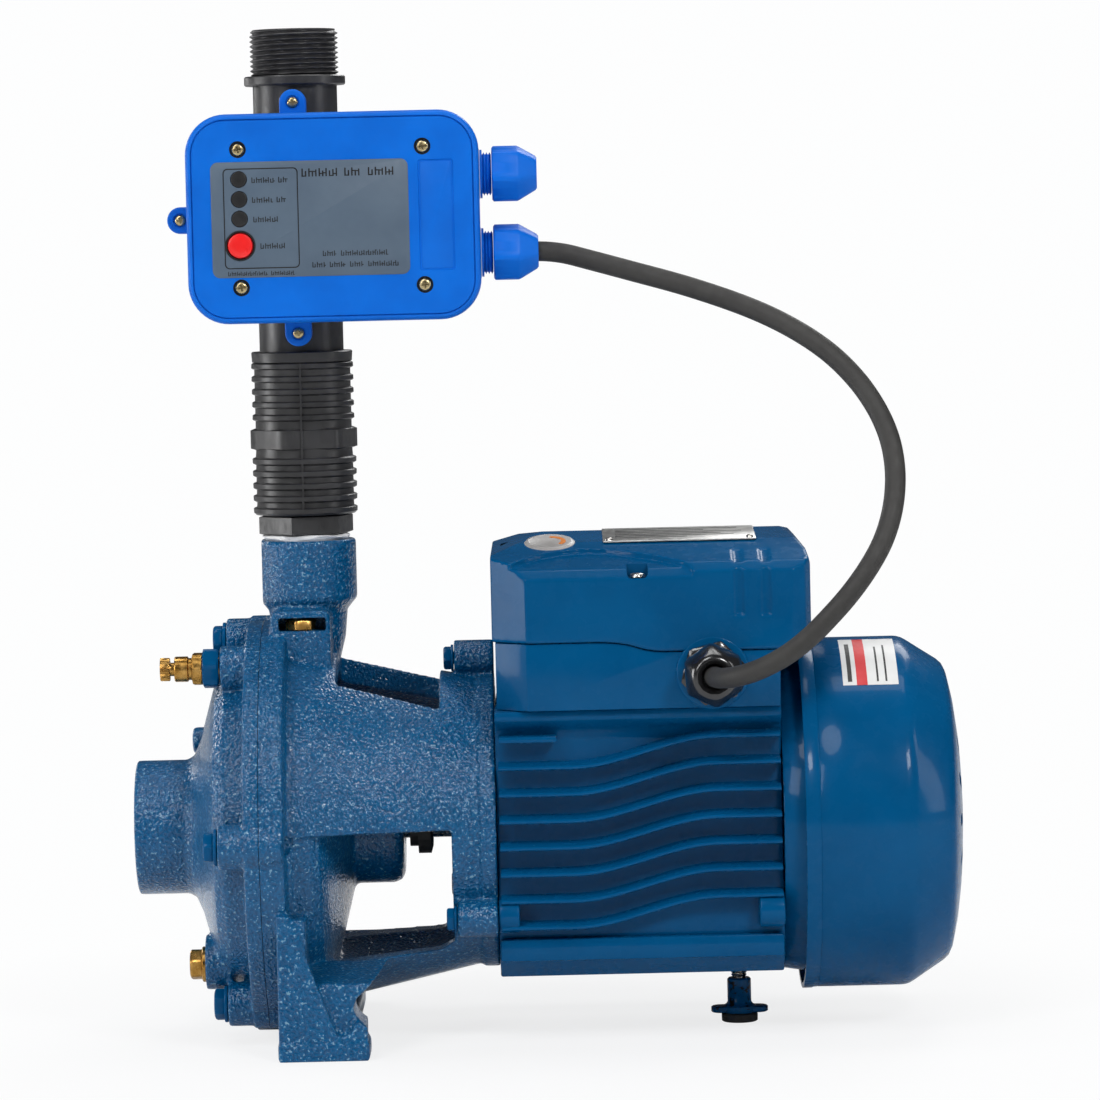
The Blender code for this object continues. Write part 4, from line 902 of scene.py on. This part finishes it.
def box_trim():
    """Rating plate with its rivets and plain rules, and the round badge, on the lid."""
    slope = atan2(3.1, 40)
    tilt = at(177, -20, 236.1) @ Matrix.Rotation(slope, 4, "X")
    piece("rating_plate", slab((-36, -24), (36, 20), 1, [(0, 0), (0.5, 0), (0.65, 0.2)], tilt), PLATE)
    for number, (x0, x1, y) in enumerate((
            (-30, 28, 13), (-30, 12, 7.5), (-30, 30, 2), (-30, 20, -3.5), (-30, 26, -9), (-30, 4, -14.5))):
        rule = block((x0, y, 0.6), (x1, y + 1.4, 0.7), tilt)
        piece(f"plate_rule_{number}", rule, INK)
    for number, x in enumerate((-33, 33)):
        rivet = turned([(0.4, 0), (0.4, 2), (1.1, 1.7), (1.6, 0.9), (1.75, 0)],
                       tilt @ at(x, -21, 0.2), 24)
        piece(f"plate_rivet_{number}", rivet, STEEL)
    tilt = at(116, -40, 234) @ Matrix.Rotation(atan2(8.2, 32.5), 4, "X")
    disc = turned([(-1.5, 0), (-1.5, 12), (0.4, 12), (1.2, 11.2), (1.5, 10), (1.2, 9.4), (1.2, 0)], tilt, 72)
    piece("badge", disc, BADGE)
    arc = [spot(7.6, k * 0.12) for k in range(-6, 14)] + [spot(5.4, k * 0.12) for k in range(13, -7, -1)]
    piece("badge_arc", prism(arc, 1.1, 1.4, tilt), ORANGE)


def box_gland():
    """Black gland on the near side of the terminal box, round the lead."""
    outward = facing(BOX_GLAND_X, BOX_GLAND_Z)
    body = hex_loft(((76.5, 14.6, 0.4), (77.9, 15.6, 0.1), (81.6, 15.6, 0.1), (82.4, 14.8, 0.5),
                     (82.6, 13.2, 1), (87.6, 13.2, 1)), outward, 0.25)
    cut(body, pin(60, 95, 5.7, outward, 48))
    piece("gland_seat", body, GLOSS_BLACK, "box_gland_body")
    nut = hex_loft(((87.8, 14.8, 0.3), (88.4, 15.3, 0.1), (94.5, 15.3, 0.1), (96.5, 14.8, 0.35),
                    (98.6, 13.6, 0.7), (100.4, 12.4, 0.9), (101.8, 11.2, 1), (102.5, 9.6, 1)), outward, 0.6)
    flare = turned([(95, 0), (95, 5.3), (99, 5.3), (101.4, 6.3), (102.6, 7.9), (104, 7.9), (104, 0)],
                   outward, 48)
    cut(nut, flare, pin(80, 110, 5.2, outward, 48))
    piece("gland_nut", nut, GLOSS_BLACK, "box_gland_nut")


# ---- outlet

def thread(low, high, root, crest, pitch, bore):
    """Tube with a helical thread outside, along local Z."""
    around, rows = 96, int((high - low) / 0.24)
    rings = []
    for row in range(rows + 1):
        z = low + (high - low) * row / rows
        fade = min(1, (high - z) / 1.6 + 0.12, (z - low) / 0.8 + 0.1)
        ring = []
        for k in range(around):
            lift = 1 - abs(2 * ((z / pitch - k / around) % 1) - 1)
            lift = min(max(lift * 1.35 - 0.15, 0), 1)
            ring.append((*spot(root + (crest - root) * lift * fade, k * tau / around), z))
        rings.append(ring)
    for z in (high, low):
        rings.append([(*spot(bore, k * tau / around), z) for k in range(around)])
    return loft(rings, tube=True)


def outlet():
    """Sealing tape, nipple, ribbed union and the controller's threaded tube, from the bottom up."""
    upright = along("Z")
    bore = 15.5
    tube = [(315, bore), (315, 20), (452.4, 20), (452.5, 23.4), (453.1, 24), (456.4, 24),
            (457, 23.4), (457, 19.6), (458, 19.6), (458, bore)]
    pipe = turned(tube, upright, 96)
    chamber = along("Y", 0, 0, CONTROL_Z)
    disc = pin(-22, 2, 45, chamber, 96, 1.2)
    cut(disc, turned([(-30, 0), (-30, 40), (-18.5, 40), (-18.5, 8), (-8, 8), (-8, 0)], chamber, 64))
    fuse(pipe, disc)
    cut(pipe, pin(300, 490, bore, upright, 96))
    piece("outlet_pipe", pipe, PIPE_BLACK, "flow_body")
    piece("outlet_thread", thread(457, 479, 19.5, 20.95, 2.31, bore), PIPE_BLACK, sharp=50)

    profile = [(248.9, 16.3), (248.9, 23.6)]
    for k in range(5):
        z = 249.6 + 5.9 * k
        profile += [(z, 24.3), (z + 0.3, 24.7), (z + 2.3, 24.8), (z + 2.7, 24.4), (z + 3.1, 23.2),
                    (z + 5.3, 23.1)]
    profile = profile[:-1] + [(279, 23), (291.2, 22.9)]
    for k in range(5):
        z = 294 + 6.1 * k
        profile += [(z - 0.4, 22.9), (z, 23.9), (z + 0.4, 24.3), (z + 2.3, 24.2), (z + 2.6, 23.8),
                    (z + 3, 22.9)]
    profile = profile[:-1] + [(321.4, 23), (321.6, 23.8), (326, 24.1), (326.5, 23.6), (326.5, 20.4),
                              (314, 20.4), (312, 16.3)]
    coupling = turned(profile, upright, 96)
    collar = hex_loft(((279.9, 25.6, 0.5), (280.6, 26.8, 0.12), (289.2, 26.8, 0.12), (290, 25.8, 0.5)),
                      upright, 0.2)
    fuse(coupling, cut(collar, pin(270, 300, 19, upright, 64)))
    seam = block((-0.45, -24.6, 249.5), (0.45, -21, 321))
    fuse(coupling, seam)
    piece("union", coupling, PIPE_BLACK, "union_coupling")

    nipple = hex_loft(((239.4, 22.4, 0.5), (240, 23.2, 0.08), (247.9, 23.2, 0.08), (248.5, 22.4, 0.5)),
                      upright, 0.26)
    fuse(nipple, pin(224.5, 240, 18.3, upright, 64), pin(248, 262, 15.8, upright, 64))
    cut(nipple, pin(200, 270, 12.9, upright, 64))
    piece("nipple", nipple, PIPE_BLACK, "hex_nipple")

    rings = []
    for row, (z, r) in enumerate(((235.6, 18.5), (236.4, 19.4), (237.2, 20), (238, 20.6), (238.8, 20.7),
                                  (239.3, 19.6))):
        ring = []
        for k in range(120):
            a = k * tau / 120
            wave = 0.5 * sin(3 * a + row) + 0.3 * sin(7 * a + 2.1 * row) + 0.2 * sin(17 * a)
            ring.append((*spot(r + wave, a), z))
        rings.append(ring)
    tape = cut(loft(rings), pin(230, 245, 18.32, upright, 64))
    piece("thread_tape", tape, TAPE, sharp=60)


# ---- controller

LABEL_Y = -50.28
PRINT_Y = -50.35
LAMP_X = -25
LAMP_Z = (408.1, 398.8, 389.7)
BUTTON_Z = 377.2
FACE_SCREWS = ((-25.2, 422), (60.9, 421.7), (-25, 357.6), (60.7, 357.2))


def controller():
    """Blue case of the controller, in two halves, with its screws."""
    levels = [(34.7, 0.5), (35.2, 0), (46.8, 0), (48.3, 0.3), (49.2, 0.8), (49.8, 1.5), (50, 2.2), (50, 2.5),
              (49.2, 2.6), (49.2, 3.05), (50, 3.15)]
    cover = slab((-50, 340.7), (87, 438.6), 19, levels, UPRIGHT, 12)
    cut(cover, slab((-46.5, 344.2), (83.5, 435.1), 15.5, [(30, 0), (46.6, 0)], UPRIGHT))
    cut(cover, slab((58.4, 363.6), (75.3, 415.7), 1.6, [(49.4, 0.5), (50.2, 0), (52, 0)], UPRIGHT, 4))
    fuse(cover, slab((59.6, 364.8), (74.1, 414.5), 1.2, [(48.6, 0), (49.6, 0), (49.75, 0.25)], UPRIGHT, 4))
    for x, z in FACE_SCREWS:
        cut(cover, pin(48.2, 52, 3.95, facing(x, z), 40))
    for z in LAMP_Z:
        cut(cover, pin(40, 60, 4, facing(LAMP_X, z), 32))
    cut(cover, pin(40, 60, 6.4, facing(LAMP_X, BUTTON_Z), 48))
    piece("control_cover", cover, CONTROL_BLUE, "controller_cover")
    for number, (x, z) in enumerate(FACE_SCREWS):
        # A thin black disc on the floor of each screw well is painted shade round the screw head.
        piece(f"face_well_{number}", pin(48.25, 48.6, 3.9, facing(x, z), 40), INK)
        phillips(f"face_screw_{number}", at(x, -48.7, z) @ UPRIGHT, 3.05, GOLD_ZINC)

    base = slab((-48.2, 342.4), (85.2, 437), 17.6, [(22.3, 1.4), (23, 0.4), (24, 0), (34.3, 0)], UPRIGHT, 12)
    fuse(base, pin(22.35, 31, 46.5, facing(0, CONTROL_Z), 96, 0.8))
    for number in range(4):
        angle = number * pi / 2
        spin = at(0, 0, CONTROL_Z) @ Matrix.Rotation(angle, 4, "Y") @ UPRIGHT
        fuse(base, slab((36, -6.3), (60.4, 6.3), 6.2, edges_of(22.4, 29, 1), spin))
        if number:
            seat = spin @ at(54.2, 0, 0)
            cut(base, pin(28.2, 32, 3.4, seat, 32))
            phillips(f"ear_screw_{number}", seat @ at(0, 0, 28.4), 2.6, GOLD_ZINC)
    cut(base, slab((-43, 348), (79, 432), 13, [(30, 0), (40, 0)], UPRIGHT))
    for z in GLAND_Z:
        pad = slab((80, z - 12.5), (87, z + 12.5), 1, [(22.6, 0.6), (23.2, 0), (33.7, 0), (34.3, 0.6)],
                   UPRIGHT, 3)
        fuse(base, pad)
    piece("control_base", base, CONTROL_BLUE, "controller_base")


def tally(x, z, height, width):
    """Small upright and level strokes, set in a row in place of a word."""
    foot, stroke, pitch = z - height / 2, height * 0.17, height * 0.42
    marks = []
    for k in range(int(width / pitch)):
        left = x + k * pitch
        tall = height * (1, 0.7, 1, 0.7, 0.85)[k % 5]
        marks.append(block((left, PRINT_Y, foot), (left + stroke, LABEL_Y, foot + tall)))
        if k % 3 != 1:
            low = foot + (tall - stroke) * (k % 4) / 3
            marks.append(block((left + stroke, PRINT_Y, low), (left + pitch, LABEL_Y, low + stroke * 0.8)))
    return marks


def control_face():
    """Grey label with plain rules in place of words, three lamps and the push button."""
    label = slab((-38.2, 362.3), (54, 416.2), 3.6, [(50.02, 0), (50.2, 0), (50.3, 0.15)], UPRIGHT, 8)
    for z in LAMP_Z:
        cut(label, pin(40, 60, 3.95, facing(LAMP_X, z), 32))
    cut(label, pin(40, 60, 6.35, facing(LAMP_X, BUTTON_Z), 48))
    piece("face_label", label, LABEL_GREY, "control_label")

    border = slab((-32.4, 366.4), (2.6, 413.2), 2.2, [(50.28, 0), (50.36, 0)], UPRIGHT)
    cut(border, slab((-31.9, 366.9), (2.1, 412.7), 1.8, [(50, 0), (51, 0)], UPRIGHT))
    ring = turned([(50.28, 6.35), (50.28, 7.15), (50.38, 7.15), (50.38, 6.35)], facing(LAMP_X, BUTTON_Z), 64)
    rules = [joined(border, ring)]
    lines = (
        (4.4, 410.6, 3.8, (18.5, 9.5, 14)),
        (-19, 407.6, 2.6, (11, 5)), (-19, 398.4, 2.6, (10, 5)), (-18.6, 389.3, 2.6, (12.4,)),
        (-15.6, 376.9, 2.6, (13,)), (13.4, 372.8, 2.5, (7, 23)),
        (8.4, 367.6, 2.5, (6.6, 8, 7, 15)), (-31, 364.2, 2, (18.6, 11)),
    )
    for x, z, height, words in lines:
        for width in words:
            rules += tally(x, z, height, width)
            x += width + 1.5
    piece("face_print", joined(*rules), INK)

    carrier = slab((-30, 385.4), (-20, 413), 1, [(44.8, 0), (46.6, 0)], UPRIGHT, 3)
    for z in LAMP_Z:
        fuse(carrier, pin(45.5, 50.45, 3.7, facing(LAMP_X, z), 40, 0.4))
    piece("lamp_lens", carrier, INK, "indicator_lens")
    cap = turned([(42.2, 0), (42.2, 2), (45.2, 2), (45.2, 7.6), (46.6, 7.6), (46.6, 5.8), (50.9, 5.8),
                  (51.4, 5.5), (51.65, 4.6), (51.8, 2.5), (51.8, 0)], facing(LAMP_X, BUTTON_Z), 64)
    piece("button_cap", cap, RED, "restart_button", body="button")


def control_glands():
    for tag, z in zip(("upper", "lower"), GLAND_Z):
        place = along("X", 0, GLAND_Y, z)
        neck = [(87.3, 5.4), (87.3, 11.4), (88.3, 11.4), (88.3, 9.2)]
        for k in range(3):
            neck += [(88.7 + 1.4 * k, 9.2), (89.2 + 1.4 * k, 10.2), (89.7 + 1.4 * k, 9.2)]
        neck += [(92.6, 9.2), (92.6, 5.4)]
        piece(f"control_gland_{tag}", turned(neck, place, 64), CONTROL_BLUE, f"gland_{tag}_body")
        nut = hex_loft(((92.9, 13.3, 0.3), (93.6, 13.9, 0.05), (104.6, 13.9, 0.05), (105.6, 13.5, 0.08),
                        (113.2, 9, 0.3), (114, 8.2, 0.6)), place, pi / 6 + 0.22)
        cut(nut, pin(80, 120, 5.4, place, 48))
        piece(f"control_nut_{tag}", nut, CONTROL_BLUE, f"gland_{tag}_nut")


# ---- levelling foot

def levelling_foot():
    """Stud, winged sleeve and rubber pad under the rear of the motor."""
    place = along("Z", JACK_X)
    stud = [(10, 0), (10, 2.2), (11, 3), (21.4, 3), (21.4, 3.2)]
    stud += [(21.8 + 0.6 * k, 3.8 if k % 2 else 3.25) for k in range(13)] + [(29.6, 3.3), (29.6, 0)]
    piece("jack_thread", turned(stud, place, 40), STEEL, "jack_stud", sharp=60)
    sleeve = turned([(4.4, 2.8), (4.4, 8), (5.4, 8.4), (7.4, 8.2), (8.4, 6.4), (9.6, 5.7), (20.2, 5.7),
                     (21, 5), (21, 3.4), (9.5, 3.4), (9.5, 2.8)], place, 64)
    length, width = 13.6, 5.5
    rings = []
    for z, inset in ((4.5, 0.6), (5, 0), (6.9, 0), (7.4, 0.6)):
        corner = (length - inset, width - inset)
        rings.append([(x, y, z) for x, y in rounded((-corner[0], -corner[1]), corner, 4.5)])
    wings = loft(rings, place)
    fuse(sleeve, cut(wings, pin(0, 30, 6, place, 48)))
    piece("jack_screw", sleeve, CHIPPED, "jack_sleeve", body="foot_sleeve")
    pad = turned([(0, 0), (0, 8), (0.4, 8.6), (3.4, 8.7), (4, 8.2), (4.1, 7), (4.1, 2.4), (9, 2.4),
                  (9, 0)], place, 64)
    piece("jack_foot", pad, RUBBER, "jack_pad", body="foot_pad")


# ---- build

studio()
control_lead()
casing_body()
casing_cover()
fasteners()
brassware()
motor_shell()
fan_housing()
caution_sticker()
terminal_box()
box_trim()
box_gland()
outlet()
controller()
control_face()
control_glands()
levelling_foot()

dress(BLACK, "cooling_fan", "capacitor")
dress(RUBBER, "water_flinger", "seal_rotating_half", "diaphragm", "casing_gasket")
dress(BRASS, "impeller_first", "impeller_second", "impeller_nut", "flow_valve")
dress(STEEL, "shaft", *(f"bearing_{end}_{race}" for end in ("front", "rear") for race in ("outer", "inner")))
dress(LAMINATED, "stator_core", "rotor_core")
dress(COPPER, "winding_front", "winding_rear")
dress(IRON, "interstage_diffuser")
dress(CERAMIC, "seal_seat")
dress(BOARD, "circuit_board")

floor = slab((-9, -9), (9, 9), 2, [(-0.02, 0), (0, 0)], None, 12)
floor.name = "floor"
floor.data.materials.append(FLOOR)
